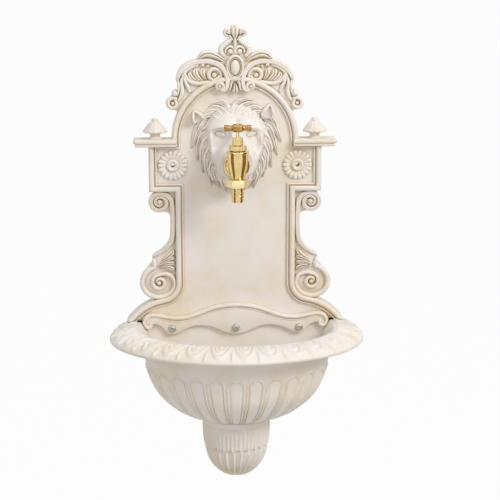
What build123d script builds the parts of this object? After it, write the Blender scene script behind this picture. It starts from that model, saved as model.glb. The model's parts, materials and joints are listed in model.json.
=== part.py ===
"""Cast wall fountain with a lion mask, a brass tap with a hose union, a half-round basin and a corbel.

Millimetres. X runs right as seen from the front, Z runs up, and the front faces -Y.
The wall is the plane Y = 0, and the origin lies on it, midway between the two wall fixing holes.
A depth is a distance out from the wall, so depth 22 is the plane Y = -22.
"""
import math
import os

from build123d import *

os.makedirs("parts", exist_ok=True)

# Wall fixing
hole_span = 197.0
wall_hole_r = 3.25

# Back panel, a hollow-backed casting
casting_wall = 5.0
field_depth = 22.0
border_width = 13.0
border_rise = 8.0
border_groove = 1.2
inner_bead_width = 3.2
inner_bead_rise = 4.5
arch_r = 100.0
arch_z = 40.0
block_half = 136.5
block_top = 42.0
block_bottom = -42.0
waist_half = 95.0
flare_z = -190.0
cove_r = 24.0
cove_angle = 80.0
flare_r = 93.0
panel_bottom = -250.0

# Shelves and finials
shelf_half = 160.0
shelf_height = 12.0
shelf_depth = 38.0
shelf_round = 4.0
finial_x = 125.6
finial_base_r = 9.8
finial_cap_r = 19.0
finial_height = 33.0
spigot_r = 4.0
spigot_length = 8.0

# Rosettes over the wall fixing holes
rosette_r = 23.5
rosette_rise = 4.0
petal_count = 16
petal_r = 3.8
rosette_ring_r = 8.5
boss_r = 11.0

# Side scrolls
scroll_back = 5.0
scroll_web = 9.0
scroll_rib_r = 4.0
volute_rib_r = 4.6
scroll_x = 99.5

# Crest
crest_back = 5.0
crest_web = 9.0
crest_rib_r = 4.2
crest_top = 220.0
oval_drop = 66.5
oval_width = 16.0
oval_height = 29.0
oval_frame = 6.0

# Apron of the panel, with a lobe round each basin bolt
apron_rise = 8.0
apron_height = 40.5
apron_half = 148.0
bolt_span = 102.0
bolt_z = -263.5
lobe_r = 10.0
lobe_rise = 14.5
nose_r = 9.5

# Lion mask
mask_width = 140.0
mask_height = 146.0
mask_z = 30.0
mane_tips = 18
mane_rise = 14.0
head_r = 50.0
head_depth = 10.0
mouth_depth = 72.0
mask_wall = 6.0
mask_screw_x = 48.0
mask_screw_z = 32.0
mask_screw_r = 2.5
mask_screw_grip = 10.0

# Tap
tap_depth = 106.0
tap_z = 5.5
shank_r = 10.48
shank_end = 1.0
inlet_bore_r = 5.5
relief_width = 1.0
relief_r = 9.8
escutcheon_r = 20.0
escutcheon_height = 6.0
arm_r = 11.5
collar_r = 13.5
collar_height = 3.0
body_r = 15.5
body_top = 27.5
body_shoulder = 14.5
neck_r = 9.4
neck_drop = 14.0
outlet_thread_r = 13.1
outlet_bore_r = 6.5
chamber_r = 8.6
seat_r = 5.0
seat_drop = 6.5
seat_height = 4.0
bonnet_thread_r = 9.5
bonnet_thread_length = 11.0
bonnet_hex = 23.5
bonnet_hex_height = 7.4
gasket_height = 1.0
gland_neck_r = 5.2
gland_neck_length = 8.6
stuffing_r = 4.0
stuffing_depth = 6.5
gland_hex = 14.4
gland_cap = 3.8
spindle_thread_r = 5.0
spindle_thread_length = 25.0
stem_r = 2.5
stem_gap = 8.3
handle_half = 20.6
handle_hub_r = 6.1
handle_hub_half = 7.5
handle_waist_r = 3.9
handle_end_r = 4.9
handle_screw_r = 1.5
jumper_plate_r = 7.6
jumper_plate = 3.0
jumper_pin_r = 2.4
jumper_pin_length = 11.0
valve_washer_r = 7.2
valve_washer = 3.0
washer_nut_hex = 5.5
washer_nut = 2.4
lock_nut_hex = 30.0
lock_nut_height = 6.0
lock_washer_r = 17.0
lock_washer_height = 1.6

# Hose union
union_hex = 32.0
union_height = 10.8
union_lip = 2.2
union_washer_height = 2.0
tail_flange_height = 2.4
tail_r = 9.15
tail_bore_r = 6.0
tail_length = 23.6
tail_tip = 5.0
tail_ridges = 3
tail_ridge_rise = 0.9

# Basin
seat_gap = 2.0
rim_width = 51.0
rim_drop = 5.0
rim_lip = 6.0
rim_cove = 11.0
bowl_half = 150.0
bowl_front = 107.0
bowl_centre = 69.0
bowl_height = 150.0
bowl_wall = 7.0
back_wall = 6.0
foot_half = 55.0
foot_centre = 40.0
bolt_r = 3.0
bolt_head_r = 5.4
bolt_head = 3.4
bolt_socket = 4.0
bolt_washer_r = 6.2
bolt_washer = 1.6
nut_hex = 10.0
nut_height = 5.0
bolt_end = 2.0

# Corbel and drain under the basin
corbel_height = 106.0
corbel_wall = 6.0
corbel_web = 6.0
corbel_band = 10.0
corbel_band_rise = 2.0
corbel_tip_half = 15.0
corbel_bolt_x = 33.0
drain_flange_r = 17.0
drain_flange = 3.0
drain_r = 10.5
drain_wall = 2.0
drain_length = 48.0
drain_nut_hex = 28.0
drain_nut = 7.0
drain_gasket = 1.5
strainer_hole_r = 2.2
seal_height = 1.5

# Fits
thread_fit = 0.05
running_fit = 0.05
loose_fit = 0.4
wall_gap = 1.0

# Places that follow from the sizes above
plate_back = field_depth - casting_wall
border_depth = field_depth + border_rise
apron_depth = field_depth + apron_rise
hole_x = hole_span / 2
oval_z = crest_top - oval_drop
apron_top = bolt_z + apron_height
rim_top = panel_bottom - seat_gap
rim_edge = rim_top - rim_drop
rim_low = rim_edge - rim_lip
bowl_bottom = rim_top - bowl_height
basin_floor = bowl_bottom + bowl_wall
finial_depth = shelf_depth / 2
drain_depth = field_depth + drain_flange_r + wall_gap


def at_depth(depth):
    """The plane parallel to the wall at a depth, drawn in X and Z and extruded towards the front."""
    return Plane.XZ.offset(depth)


def tube_axis(depth, z):
    """A plane across a pipe that runs out from the wall at X = 0."""
    return Plane(origin=(0, -depth, z), x_dir=(1, 0, 0), z_dir=(0, -1, 0))


def panel_face(inset):
    """The panel's outline drawn in by an inset, closed along its bottom edge."""
    arch_radius = arch_r - inset
    shoulder = block_top - inset
    arch_x = math.sqrt(arch_radius**2 - (shoulder - arch_z) ** 2)
    block_x = block_half - inset
    waist_x = waist_half - inset
    turn = math.radians(180 + cove_angle)
    cove = Vector(waist_half + cove_r, flare_z)
    joint = cove + Vector(math.cos(turn), math.sin(turn)) * (cove_r + inset)
    flare = cove + Vector(math.cos(turn), math.sin(turn)) * (cove_r + flare_r)
    flare_radius = flare_r - inset
    tip_angle = math.asin((panel_bottom - flare.Y) / flare_radius)
    tip = flare + Vector(math.cos(tip_angle), math.sin(tip_angle)) * flare_radius
    with BuildSketch() as face:
        with BuildLine():
            ThreePointArc((-arch_x, shoulder), (0, arch_z + arch_radius), (arch_x, shoulder))
            for side in (-1, 1):
                Polyline(
                    (side * arch_x, shoulder),
                    (side * block_x, shoulder),
                    (side * block_x, block_bottom + inset),
                    (side * waist_x, block_bottom + inset),
                    (side * waist_x, flare_z),
                )
                mid = math.radians(180 + cove_angle / 2)
                bend = cove + Vector(math.cos(mid), math.sin(mid)) * (cove_r + inset)
                ThreePointArc((side * waist_x, flare_z), (side * bend.X, bend.Y), (side * joint.X, joint.Y))
                mid = (math.radians(cove_angle) + tip_angle) / 2
                bend = flare + Vector(math.cos(mid), math.sin(mid)) * flare_radius
                ThreePointArc((side * joint.X, joint.Y), (side * bend.X, bend.Y), (side * tip.X, tip.Y))
            Line((-tip.X, panel_bottom), (tip.X, panel_bottom))
        make_face()
    return face.sketch


def apron_face():
    """The wavy apron, with a lobe round each bolt and a rounded nose at each end."""
    lobe = bolt_z - lobe_r
    valley = lobe + lobe_rise
    nose_x = apron_half - nose_r
    nose_z = valley + nose_r
    top = [(-nose_x, nose_z + nose_r), (-bolt_span + 2, apron_top - 21), (-bolt_span / 2, apron_top - 11)]
    low = [
        (-nose_x, nose_z - nose_r),
        (-bolt_span - 26, valley + 2),
        (-bolt_span, lobe),
        (-bolt_span / 2, valley),
    ]
    with BuildSketch() as face:
        with BuildLine():
            for half, middle in ((top, apron_top), (low, lobe)):
                points = half + [(0, middle)] + [(-x, z) for x, z in reversed(half)]
                Spline(points, tangents=[(1, 0), (1, 0)])
            for side in (-1, 1):
                ThreePointArc(
                    (side * nose_x, nose_z + nose_r),
                    (side * apron_half, nose_z),
                    (side * nose_x, nose_z - nose_r),
                )
        make_face()
    return face.sketch


def chain(side, start, heading, steps, depth):
    """A path of arcs and straights, mirrored by its side. A step is (arc radius, turn) or (0, length)."""
    x, z = start
    angle = math.radians(heading)
    with BuildLine(at_depth(depth)) as path:
        for radius, amount in steps:
            begin = (x, z)
            if radius:
                turn = math.radians(amount)
                reach = math.copysign(radius, amount)
                centre_x = x - reach * math.sin(angle)
                centre_z = z + reach * math.cos(angle)
                middle, (x, z) = [
                    (centre_x + reach * math.sin(angle + part), centre_z - reach * math.cos(angle + part))
                    for part in (turn / 2, turn)
                ]
                angle += turn
                ThreePointArc(*[(side * along, up) for along, up in (begin, middle, (x, z))])
            else:
                x += amount * math.cos(angle)
                z += amount * math.sin(angle)
                Line((side * begin[0], begin[1]), (side * x, z))
    return path.wire()


def hex_prism_profile(across, bore):
    """A hexagon with a round hole, across its flats."""
    with BuildSketch() as face:
        RegularPolygon(across / 2, 6, major_radius=False)
        if bore:
            Circle(bore, mode=Mode.SUBTRACT)
    return face.sketch


def bowl_section(z, half, front, centre, back_half, back_depth):
    """A basin section: half an ellipse in front, drawn in a little behind it, flat at the back."""
    with BuildSketch(Plane.XY.offset(z)) as face:
        with BuildLine():
            EllipticalCenterArc((0, -centre), half, front, start_angle=180, arc_size=180)
            TangentArc((half, -centre), (back_half, -back_depth), tangent=(0, 1))
            TangentArc((-half, -centre), (-back_half, -back_depth), tangent=(0, 1))
            Line((-back_half, -back_depth), (back_half, -back_depth))
        make_face()
    return face.sketch


def sweep_round(path, radius):
    """A round rib along a path."""
    with BuildPart() as rib:
        with BuildSketch(Plane(origin=path @ 0, z_dir=path % 0)):
            Circle(radius)
        sweep(path=path)
    return rib.part


scroll_depth = scroll_back + scroll_web
upper_scroll = [(0, 20), (28, -60), (0, 40), (22, -90)]
upper_scroll += [(radius, -90) for radius in (12.5, 11, 8.5, 6, 4.8)]
lower_scroll = [(radius, -90) for radius in (26, 25, 22, 19, 15, 12, 9, 6.5)] + [(5.4, -60)]

with BuildPart() as side_scrolls:
    # A thin web that joins the two volutes of each side to the panel
    with BuildSketch(at_depth(scroll_back)):
        for side in (-1, 1):
            with Locations((side * (scroll_x + 22), block_bottom - 16.5)):
                Circle(15)
            with Locations((side * (scroll_x + 23.5), flare_z + 3)):
                Circle(28)
            with BuildLine():
                Polyline(
                    (side * (waist_half - casting_wall / 2), block_bottom + casting_wall / 2),
                    (side * (scroll_x + 22), block_bottom - 5),
                    (side * (scroll_x + 2), block_bottom - 50),
                    (side * (scroll_x + 12), block_bottom - 88),
                    (side * (scroll_x + 31.5), block_bottom - 103),
                    (side * (scroll_x + 24), flare_z + 20),
                    (side * (waist_half - casting_wall / 2), flare_z),
                    close=True,
                )
            make_face()
    extrude(amount=scroll_web)
    for side in (-1, 1):
        stem = chain(side, (scroll_x + 31.5, block_bottom - 100.5), 150, upper_scroll, scroll_depth)
        volute = chain(side, (scroll_x + 21.5, flare_z + 29), 0, lower_scroll, scroll_depth)
        add(sweep_round(stem, scroll_rib_r))
        add(sweep_round(volute, volute_rib_r))

# Right-hand ribs of the crest: a long C from a small volute to the side, a leaf above it, a tail and curls
crest_ribs = [
    ((24.4, oval_z - 27), -90, [(6.5, -180), (36, -65), (62, -25), (34, -85)]),
    ((15, oval_z + 16), 38, [(0, 4), (46, -38), (18, -50)]),
    ((88, oval_z - 24), -88, [(60, 20), (22, 60)]),
    ((28, oval_z - 14), 100, [(11, -130), (9, -110)]),
    ((9, crest_top - 21), -20, [(0, 6), (13, -110), (7, -100)]),
]
crest_balls = [(87, oval_z - 39, 6), (88, oval_z - 55, 6.5)]
crest_balls += [(14, crest_top - 11, 5), (6, crest_top - 40, 4)]
crest_depth = crest_back + crest_web

with BuildPart() as crest:
    # One web for the two sides, the cartouche, the shell and the palmette
    with BuildSketch(at_depth(crest_back)):
        for side in (-1, 1):
            with BuildLine():
                Polyline((0, arch_z), (0, oval_z + 20), (side * 14, oval_z + 14))
                ThreePointArc((side * 14, oval_z + 14), (side * 40, oval_z + 24), (side * 58, oval_z + 11))
                ThreePointArc((side * 58, oval_z + 11), (side * 82, oval_z + 1), (side * 92, oval_z - 20))
                Polyline(
                    (side * 92, oval_z - 20),
                    (side * 86, oval_z - 30),
                    (side * 92, oval_z - 52),
                    (side * 80, oval_z - 62),
                    (0, arch_z),
                )
            make_face()
            with Locations((side * 14, crest_top - 11)):
                Circle(6)
        with Locations((0, oval_z)):
            Ellipse(oval_width / 2 + oval_frame, oval_height / 2 + oval_frame)
        with Locations((0, crest_top - 35)):
            Ellipse(26, 14)
        with Locations((0, crest_top - 18)):
            Rectangle(20, 22)
        with Locations((0, crest_top - 11)):
            Ellipse(7.5, 11)
        with Locations((0, arch_z)):
            Circle(arch_r - casting_wall / 2, mode=Mode.SUBTRACT)
    extrude(amount=crest_web)
    with BuildSketch(at_depth(crest_depth)):
        with Locations((0, oval_z)):
            Ellipse(oval_width / 2 + oval_frame, oval_height / 2 + oval_frame)
            Ellipse(oval_width / 2 + oval_frame / 3, oval_height / 2 + oval_frame / 3, mode=Mode.SUBTRACT)
    extrude(amount=crest_rib_r)
    with BuildSketch(at_depth(crest_depth)):
        with Locations((0, oval_z)):
            Ellipse(oval_width / 2, oval_height / 2)
    extrude(amount=crest_rib_r * 0.8)
    for side in (-1, 1):
        for start, heading, steps in crest_ribs:
            add(sweep_round(chain(side, start, heading, steps, crest_depth), crest_rib_r))
    with BuildSketch(at_depth(crest_depth)):
        for side in (-1, 1):
            for ball_x, ball_z, ball_r in crest_balls:
                with Locations((side * ball_x, ball_z)):
                    Circle(ball_r)
        with Locations((0, crest_top - 9)):
            Circle(6)
    extrude(amount=crest_rib_r)

with BuildPart() as rosette:
    # A petalled disc with a raised ring, and a boss behind it that reaches back to the wall
    with BuildSketch(at_depth(0)):
        Circle(boss_r)
    extrude(amount=field_depth)
    with BuildSketch(at_depth(field_depth)):
        Circle(rosette_r - petal_r)
    extrude(amount=rosette_rise / 2)
    with BuildSketch(at_depth(field_depth)):
        with PolarLocations(rosette_r - petal_r, petal_count):
            Circle(petal_r)
    extrude(amount=rosette_rise)
    with BuildSketch(at_depth(field_depth)):
        Circle(rosette_ring_r)
    extrude(amount=rosette_rise * 1.5)

bead_width = border_width - inner_bead_width - border_groove

with BuildPart() as back_panel:
    # Hollow plate
    with BuildSketch(at_depth(0)):
        add(panel_face(0))
        add(panel_face(casting_wall), mode=Mode.SUBTRACT)
    extrude(amount=plate_back)
    with BuildSketch(at_depth(plate_back)):
        add(panel_face(0))
    extrude(amount=casting_wall)
    # Border: a broad bead in three steps, a groove and a thin bead
    for step, rise in ((0, 0.5), (0.13, 0.8), (0.3, 1)):
        with BuildSketch(at_depth(field_depth)):
            add(panel_face(bead_width * step))
            add(panel_face(bead_width * (1 - step)), mode=Mode.SUBTRACT)
        extrude(amount=border_rise * rise)
    with BuildSketch(at_depth(field_depth)):
        add(panel_face(border_width - inner_bead_width))
        add(panel_face(border_width), mode=Mode.SUBTRACT)
    extrude(amount=inner_bead_rise)
    # Shelves that carry the finials
    with BuildSketch(at_depth(0)):
        for side in (-1, 1):
            with Locations((side * (waist_half + shelf_half) / 2, block_top - shelf_height / 2)):
                RectangleRounded(shelf_half - waist_half, shelf_height, shelf_round)
    extrude(amount=shelf_depth)
    with BuildSketch(Plane.XY.offset(block_top)):
        with Locations((-finial_x, -finial_depth), (finial_x, -finial_depth)):
            Circle(spigot_r + running_fit)
    extrude(amount=-spigot_length - 1, mode=Mode.SUBTRACT)
    # Apron
    with BuildSketch(at_depth(field_depth)):
        add(apron_face())
    extrude(amount=apron_rise)
    # Ornament
    add(side_scrolls.part)
    add(crest.part)
    for side in (-1, 1):
        add(rosette.part.moved(Location((side * hole_x, 0, 0))))
    # Holes for the wall fixings, the basin bolts, the tap and the mask screws
    with BuildSketch(at_depth(0)):
        with Locations((-hole_x, 0), (hole_x, 0)):
            Circle(wall_hole_r)
        with Locations((-bolt_span, bolt_z), (0, bolt_z), (bolt_span, bolt_z)):
            Circle(bolt_r + loose_fit)
        with Locations((0, tap_z)):
            Circle(shank_r + loose_fit)
        with Locations((-mask_screw_x, mask_screw_z), (mask_screw_x, mask_screw_z)):
            Circle(mask_screw_r + loose_fit)
    extrude(amount=border_depth + shelf_depth, mode=Mode.SUBTRACT)

back_panel.part.label = "back_panel"
export_step(back_panel.part, "parts/back_panel.step")


def turned(profile, centre_x, depth):
    """A piece turned about an upright axis, from (radius, height) corners."""
    plane = Plane(origin=(centre_x, -depth, 0), x_dir=(1, 0, 0), z_dir=(0, -1, 0))
    with BuildPart() as piece:
        with BuildSketch(plane):
            with BuildLine():
                Polyline(*profile, close=True)
            make_face()
        revolve(axis=Axis((centre_x, -depth, 0), (0, 0, 1)))
    return piece.part


def prism(outline, plane, height):
    """A straight piece extruded from an outline on a plane."""
    with BuildPart() as piece:
        with BuildSketch(plane):
            add(outline)
        extrude(amount=height)
    return piece.part


def ring(outer, inner):
    """A flat ring."""
    with BuildSketch() as face:
        Circle(outer)
        Circle(inner, mode=Mode.SUBTRACT)
    return face.sketch


# Finials: a waisted foot with a spigot, an acorn cap and a small knob
finial_steps = [
    (0, block_top - spigot_length),
    (spigot_r, block_top - spigot_length),
    (spigot_r, block_top),
    (finial_base_r, block_top),
    (finial_base_r, block_top + 0.08 * finial_height),
    (finial_base_r * 0.8, block_top + 0.2 * finial_height),
    (finial_cap_r * 0.9, block_top + 0.27 * finial_height),
    (finial_cap_r, block_top + 0.36 * finial_height),
    (finial_cap_r * 0.9, block_top + 0.5 * finial_height),
    (finial_cap_r * 0.55, block_top + 0.72 * finial_height),
    (finial_cap_r * 0.22, block_top + 0.84 * finial_height),
    (finial_cap_r * 0.26, block_top + 0.92 * finial_height),
    (finial_cap_r * 0.12, block_top + finial_height),
    (0, block_top + finial_height),
]
for name, side in (("finial_left", -1), ("finial_right", 1)):
    finial = turned(finial_steps, side * finial_x, finial_depth)
    finial.label = name
    export_step(finial, f"parts/{name}.step")


def mane_face(shrink):
    """The outline of the mane, a ring of pointed locks."""
    corners = []
    for index in range(2 * mane_tips):
        angle = math.radians(90 + index * 180 / mane_tips)
        reach = (1 if index % 2 else 0.82) * shrink
        across = mask_width / 2 * reach * math.cos(angle)
        corners.append((across, mask_z + mask_height / 2 * reach * math.sin(angle)))
    with BuildSketch() as face:
        with BuildLine():
            Polyline(*corners, close=True)
        make_face()
    return face.sketch


mane_depth = field_depth + mane_rise
face_z = mask_z + 16
muzzle_r = escutcheon_r + 3

with BuildPart() as lion_mask:
    # Mane in two tiers
    for shrink, rise in ((1, 0.6), (0.86, 1)):
        with BuildSketch(at_depth(field_depth)):
            add(mane_face(shrink))
        extrude(amount=mane_rise * rise)
    # Head, brow, bridge of the nose, cheeks, ears and eyes, each as (x, z, depth, radius)
    forms = [(0, face_z, head_depth, head_r)]
    forms += [(0, face_z + shift, mane_depth + 14, 13) for shift in (14, 2, -10)]
    forms.append((0, tap_z - 17, mouth_depth - 22, 15))
    for side in (-1, 1):
        forms.append((side * 18, face_z + 20, mane_depth + 5, 17))
        forms.append((side * 26, tap_z + 16, mane_depth + 2, 19))
        forms.append((side * 47, face_z + 34, field_depth + 6, 13))
        forms.append((side * 25.5, face_z + 6, mane_depth + 14, 6.5))
        forms.append((side * 14, tap_z + 15, mouth_depth - 21, 17))
    for form_x, form_z, form_depth, form_r in forms:
        with Locations((form_x, -form_depth, form_z)):
            Sphere(form_r)
    with BuildSketch(at_depth(field_depth)):
        with Locations((0, tap_z)):
            Circle(muzzle_r)
    extrude(amount=mouth_depth - field_depth)
    # Hollow back, the way through the mouth and blind holes for the screws
    with Locations((0, -head_depth, face_z)):
        Sphere(head_r - mask_wall, mode=Mode.SUBTRACT)
    with BuildSketch(at_depth(field_depth)):
        with Locations((0, mask_z)):
            Rectangle(2 * mask_width, 2 * mask_height)
    extrude(amount=-2 * head_r, mode=Mode.SUBTRACT)
    with BuildSketch(at_depth(field_depth)):
        with Locations((0, tap_z)):
            Circle(shank_r + loose_fit)
    extrude(amount=mouth_depth, mode=Mode.SUBTRACT)
    with BuildSketch(at_depth(field_depth)):
        with Locations((-mask_screw_x, mask_screw_z), (mask_screw_x, mask_screw_z)):
            Circle(mask_screw_r + thread_fit)
    extrude(amount=mask_screw_grip, mode=Mode.SUBTRACT)

lion_mask.part.label = "lion_mask"
export_step(lion_mask.part, "parts/lion_mask.step")


# Screws that hold the mask from behind the panel
mask_screw_head_r = 1.8 * mask_screw_r
mask_screw_head = 1.4 * mask_screw_r
with BuildPart() as mask_screws:
    for side in (-1, 1):
        with BuildSketch(at_depth(plate_back)):
            with Locations((side * mask_screw_x, mask_screw_z)):
                Circle(mask_screw_head_r)
        extrude(amount=-mask_screw_head)
        with BuildSketch(at_depth(plate_back)):
            with Locations((side * mask_screw_x, mask_screw_z)):
                Circle(mask_screw_r)
        extrude(amount=casting_wall + mask_screw_grip - loose_fit)

mask_screws.part.label = "mask_screws"
export_step(mask_screws.part, "parts/mask_screws.step")

# Sections of the rim, upwards: (height, half width, front reach, centre, half width at the back)
rim_half = bowl_half + rim_width
rim_front = bowl_front + rim_width
bowl_top = rim_low - rim_cove
mid_rim = 0.45 * rim_width
rim_sections = [
    (bowl_top, bowl_half + 1, bowl_front + 4, bowl_centre, bowl_half - 2),
    (rim_low - 4, bowl_half + mid_rim, bowl_front + mid_rim, bowl_centre, bowl_half + 0.25 * rim_width),
    (rim_low, rim_half - 3, rim_front - 3, bowl_centre, rim_half - 22),
    (rim_low + rim_lip / 2, rim_half, rim_front, bowl_centre, rim_half - 19),
    (rim_edge, rim_half - 2, rim_front - 2, bowl_centre, rim_half - 21),
    (rim_top, bowl_half + 8, bowl_front + 8, bowl_centre, bowl_half + 6),
]
# The bowl narrows on a rounded curve from under the rim to its foot
bowl_curve = [(0, 1), (0.22, 0.97), (0.45, 0.9), (0.6, 0.81)]
bowl_curve += [(0.75, 0.67), (0.875, 0.47), (0.95, 0.25), (1, 0)]


def bowl_sections(inset, floor, back_depth):
    """Sections of the bowl drawn in by a wall thickness, down to a floor."""
    sections = []
    for drop, spread in bowl_curve:
        half = foot_half + (bowl_half + 1 - foot_half) * spread - inset
        front = foot_half + (bowl_front + 4 - foot_half) * spread - inset
        centre = foot_centre + (bowl_centre - foot_centre) * min(1, 1.25 * spread)
        height = bowl_top + (floor - bowl_top) * drop
        sections.append((height, half, front, centre, half - 3, back_depth))
    return sections


with BuildPart() as basin:
    for section_values in bowl_sections(0, bowl_bottom, 0):
        add(bowl_section(*section_values))
    loft()
    for section_values in rim_sections:
        add(bowl_section(*section_values, 0))
    loft(ruled=True)
    # Inside of the bowl, in front of its back wall
    for section_values in bowl_sections(bowl_wall, basin_floor, field_depth):
        add(bowl_section(*section_values))
    loft(mode=Mode.SUBTRACT)
    add(bowl_section(rim_top + 1, bowl_half, bowl_front, bowl_centre, bowl_half - 1, field_depth))
    add(bowl_section(*bowl_sections(bowl_wall, basin_floor, field_depth)[0]))
    loft(mode=Mode.SUBTRACT, ruled=True)
    # Hollow behind the back wall
    hollow_depth = field_depth - back_wall
    hollow = [(rim_top + 1, bowl_half - bowl_wall)]
    hollow += [(height, half - 2 * bowl_wall) for height, half, *_ in bowl_sections(0, basin_floor, 0)[:-2]]
    for height, half in hollow:
        with BuildSketch(Plane.XY.offset(height)):
            with Locations((0, -hollow_depth / 2)):
                Rectangle(2 * half, hollow_depth)
    loft(mode=Mode.SUBTRACT, ruled=True)
    # Holes for the three bolts, the drain and the bolts of the corbel
    with BuildSketch(at_depth(0)):
        with Locations((-bolt_span, bolt_z), (0, bolt_z), (bolt_span, bolt_z)):
            Circle(bolt_r + loose_fit)
    extrude(amount=field_depth, mode=Mode.SUBTRACT)
    with BuildSketch(Plane.XY.offset(bowl_bottom)):
        with Locations((0, -drain_depth)):
            Circle(drain_r + loose_fit)
        with Locations((-corbel_bolt_x, -drain_depth), (corbel_bolt_x, -drain_depth)):
            Circle(bolt_r + loose_fit)
    extrude(amount=bowl_wall, mode=Mode.SUBTRACT)

basin.part.label = "basin"
export_step(basin.part, "parts/basin.step")

# Bolts, washers and nuts that hold the apron of the panel to the back wall of the basin
bolt_places = [(x, bolt_z) for x in (-bolt_span, 0, bolt_span)]
bolt_seat = apron_depth + bolt_washer
nut_seat = field_depth - back_wall

with BuildPart() as basin_washers:
    with BuildSketch(at_depth(apron_depth)):
        with Locations(*bolt_places):
            add(ring(bolt_washer_r, bolt_r + thread_fit))
    extrude(amount=bolt_washer)

basin_washers.part.label = "basin_washers"
export_step(basin_washers.part, "parts/basin_washers.step")

with BuildPart() as basin_bolts:
    with BuildSketch(at_depth(nut_seat - nut_height - bolt_end)):
        with Locations(*bolt_places):
            Circle(bolt_r)
    extrude(amount=bolt_seat - nut_seat + nut_height + bolt_end)
    with BuildSketch(at_depth(bolt_seat)):
        with Locations(*bolt_places):
            Circle(bolt_head_r)
    extrude(amount=bolt_head)
    crowns = basin_bolts.faces().filter_by(Axis.Y).group_by(Axis.Y)[0].edges()
    fillet(crowns, bolt_head * 0.6)
    with BuildSketch(at_depth(bolt_seat + bolt_head * 0.4)):
        with Locations(*bolt_places):
            add(hex_prism_profile(bolt_socket, 0))
    extrude(amount=bolt_head, mode=Mode.SUBTRACT)

basin_bolts.part.label = "basin_bolts"
export_step(basin_bolts.part, "parts/basin_bolts.step")

with BuildPart() as basin_nuts:
    with BuildSketch(at_depth(nut_seat - nut_height)):
        with Locations(*bolt_places):
            add(hex_prism_profile(nut_hex, bolt_r + thread_fit))
    extrude(amount=nut_height)

basin_nuts.part.label = "basin_nuts"
export_step(basin_nuts.part, "parts/basin_nuts.step")

# Corbel: a cup with a band at its top, a web under the bowl and an open back
corbel_bottom = bowl_bottom - corbel_height
corbel_curve = ((0.2, 0.97), (0.45, 0.93), (0.65, 0.86), (0.83, 0.66), (0.95, 0.3), (1, 0))


def corbel_sections(inset, top, bottom):
    """Sections of the cup drawn in by a wall, from its top to its bottom."""
    sections = [(top, foot_half - inset, foot_half - inset, foot_centre, foot_half - inset - 3, 0)]
    for drop, spread in corbel_curve:
        half = corbel_tip_half + (foot_half - corbel_tip_half) * spread - inset
        sections.append((top + (bottom - top) * drop, half, half, foot_centre, half - 2, 0))
    return sections


corbel_bolts_at = [(-corbel_bolt_x, -drain_depth), (corbel_bolt_x, -drain_depth)]
web_low = bowl_bottom - corbel_web

with BuildPart() as corbel:
    for section_values in corbel_sections(0, bowl_bottom, corbel_bottom):
        add(bowl_section(*section_values))
    loft()
    for height in (bowl_bottom - corbel_band, bowl_bottom):
        wide = foot_half + corbel_band_rise
        add(bowl_section(height, wide, wide, foot_centre, wide - 3, 0))
    loft()
    for section_values in corbel_sections(corbel_wall, web_low, corbel_bottom + corbel_wall):
        add(bowl_section(*section_values))
    loft(mode=Mode.SUBTRACT)
    with BuildSketch(Plane.XY.offset(bowl_bottom)):
        with Locations((0, -drain_depth)):
            Circle(drain_r + loose_fit)
        with Locations(*corbel_bolts_at):
            Circle(bolt_r + loose_fit)
    extrude(amount=-corbel_web, mode=Mode.SUBTRACT)

corbel.part.label = "corbel"
export_step(corbel.part, "parts/corbel.step")

with BuildPart() as corbel_seals:
    with BuildSketch(Plane.XY.offset(basin_floor)):
        with Locations(*corbel_bolts_at):
            add(ring(bolt_washer_r, bolt_r + thread_fit))
    extrude(amount=seal_height)

corbel_seals.part.label = "corbel_seals"
export_step(corbel_seals.part, "parts/corbel_seals.step")

with BuildPart() as corbel_bolts:
    with BuildSketch(Plane.XY.offset(basin_floor + seal_height)):
        with Locations(*corbel_bolts_at):
            Circle(bolt_head_r)
    extrude(amount=bolt_head)
    with BuildSketch(Plane.XY.offset(web_low - nut_height - bolt_end)):
        with Locations(*corbel_bolts_at):
            Circle(bolt_r)
    extrude(amount=basin_floor + seal_height - web_low + nut_height + bolt_end)

corbel_bolts.part.label = "corbel_bolts"
export_step(corbel_bolts.part, "parts/corbel_bolts.step")

with BuildPart() as corbel_nuts:
    with BuildSketch(Plane.XY.offset(web_low - nut_height)):
        with Locations(*corbel_bolts_at):
            add(hex_prism_profile(nut_hex, bolt_r + thread_fit))
    extrude(amount=nut_height)

corbel_nuts.part.label = "corbel_nuts"
export_step(corbel_nuts.part, "parts/corbel_nuts.step")

# Drain: a flanged strainer on a gasket, with its tail through the web of the corbel and a back nut
drain_seat = basin_floor + drain_gasket

with BuildPart() as drain_gasket_ring:
    with BuildSketch(Plane.XY.offset(basin_floor)):
        with Locations((0, -drain_depth)):
            add(ring(drain_flange_r, drain_r + loose_fit))
    extrude(amount=drain_gasket)

drain_gasket_ring.part.label = "drain_gasket"
export_step(drain_gasket_ring.part, "parts/drain_gasket.step")

with BuildPart() as drain_strainer:
    with BuildSketch(Plane.XY.offset(drain_seat)):
        with Locations((0, -drain_depth)):
            Circle(drain_flange_r)
            with PolarLocations(0.6 * (drain_r - drain_wall), 6):
                Circle(strainer_hole_r, mode=Mode.SUBTRACT)
            Circle(strainer_hole_r, mode=Mode.SUBTRACT)
    extrude(amount=drain_flange)
    with BuildSketch(Plane.XY.offset(drain_seat)):
        with Locations((0, -drain_depth)):
            add(ring(drain_r, drain_r - drain_wall))
    extrude(amount=-drain_length)

drain_strainer.part.label = "drain_strainer"
export_step(drain_strainer.part, "parts/drain_strainer.step")

with BuildPart() as drain_back_nut:
    with BuildSketch(Plane.XY.offset(web_low - drain_nut)):
        with Locations((0, -drain_depth)):
            add(hex_prism_profile(drain_nut_hex, drain_r + thread_fit))
    extrude(amount=drain_nut)

drain_back_nut.part.label = "drain_nut"
export_step(drain_back_nut.part, "parts/drain_nut.step")

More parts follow.
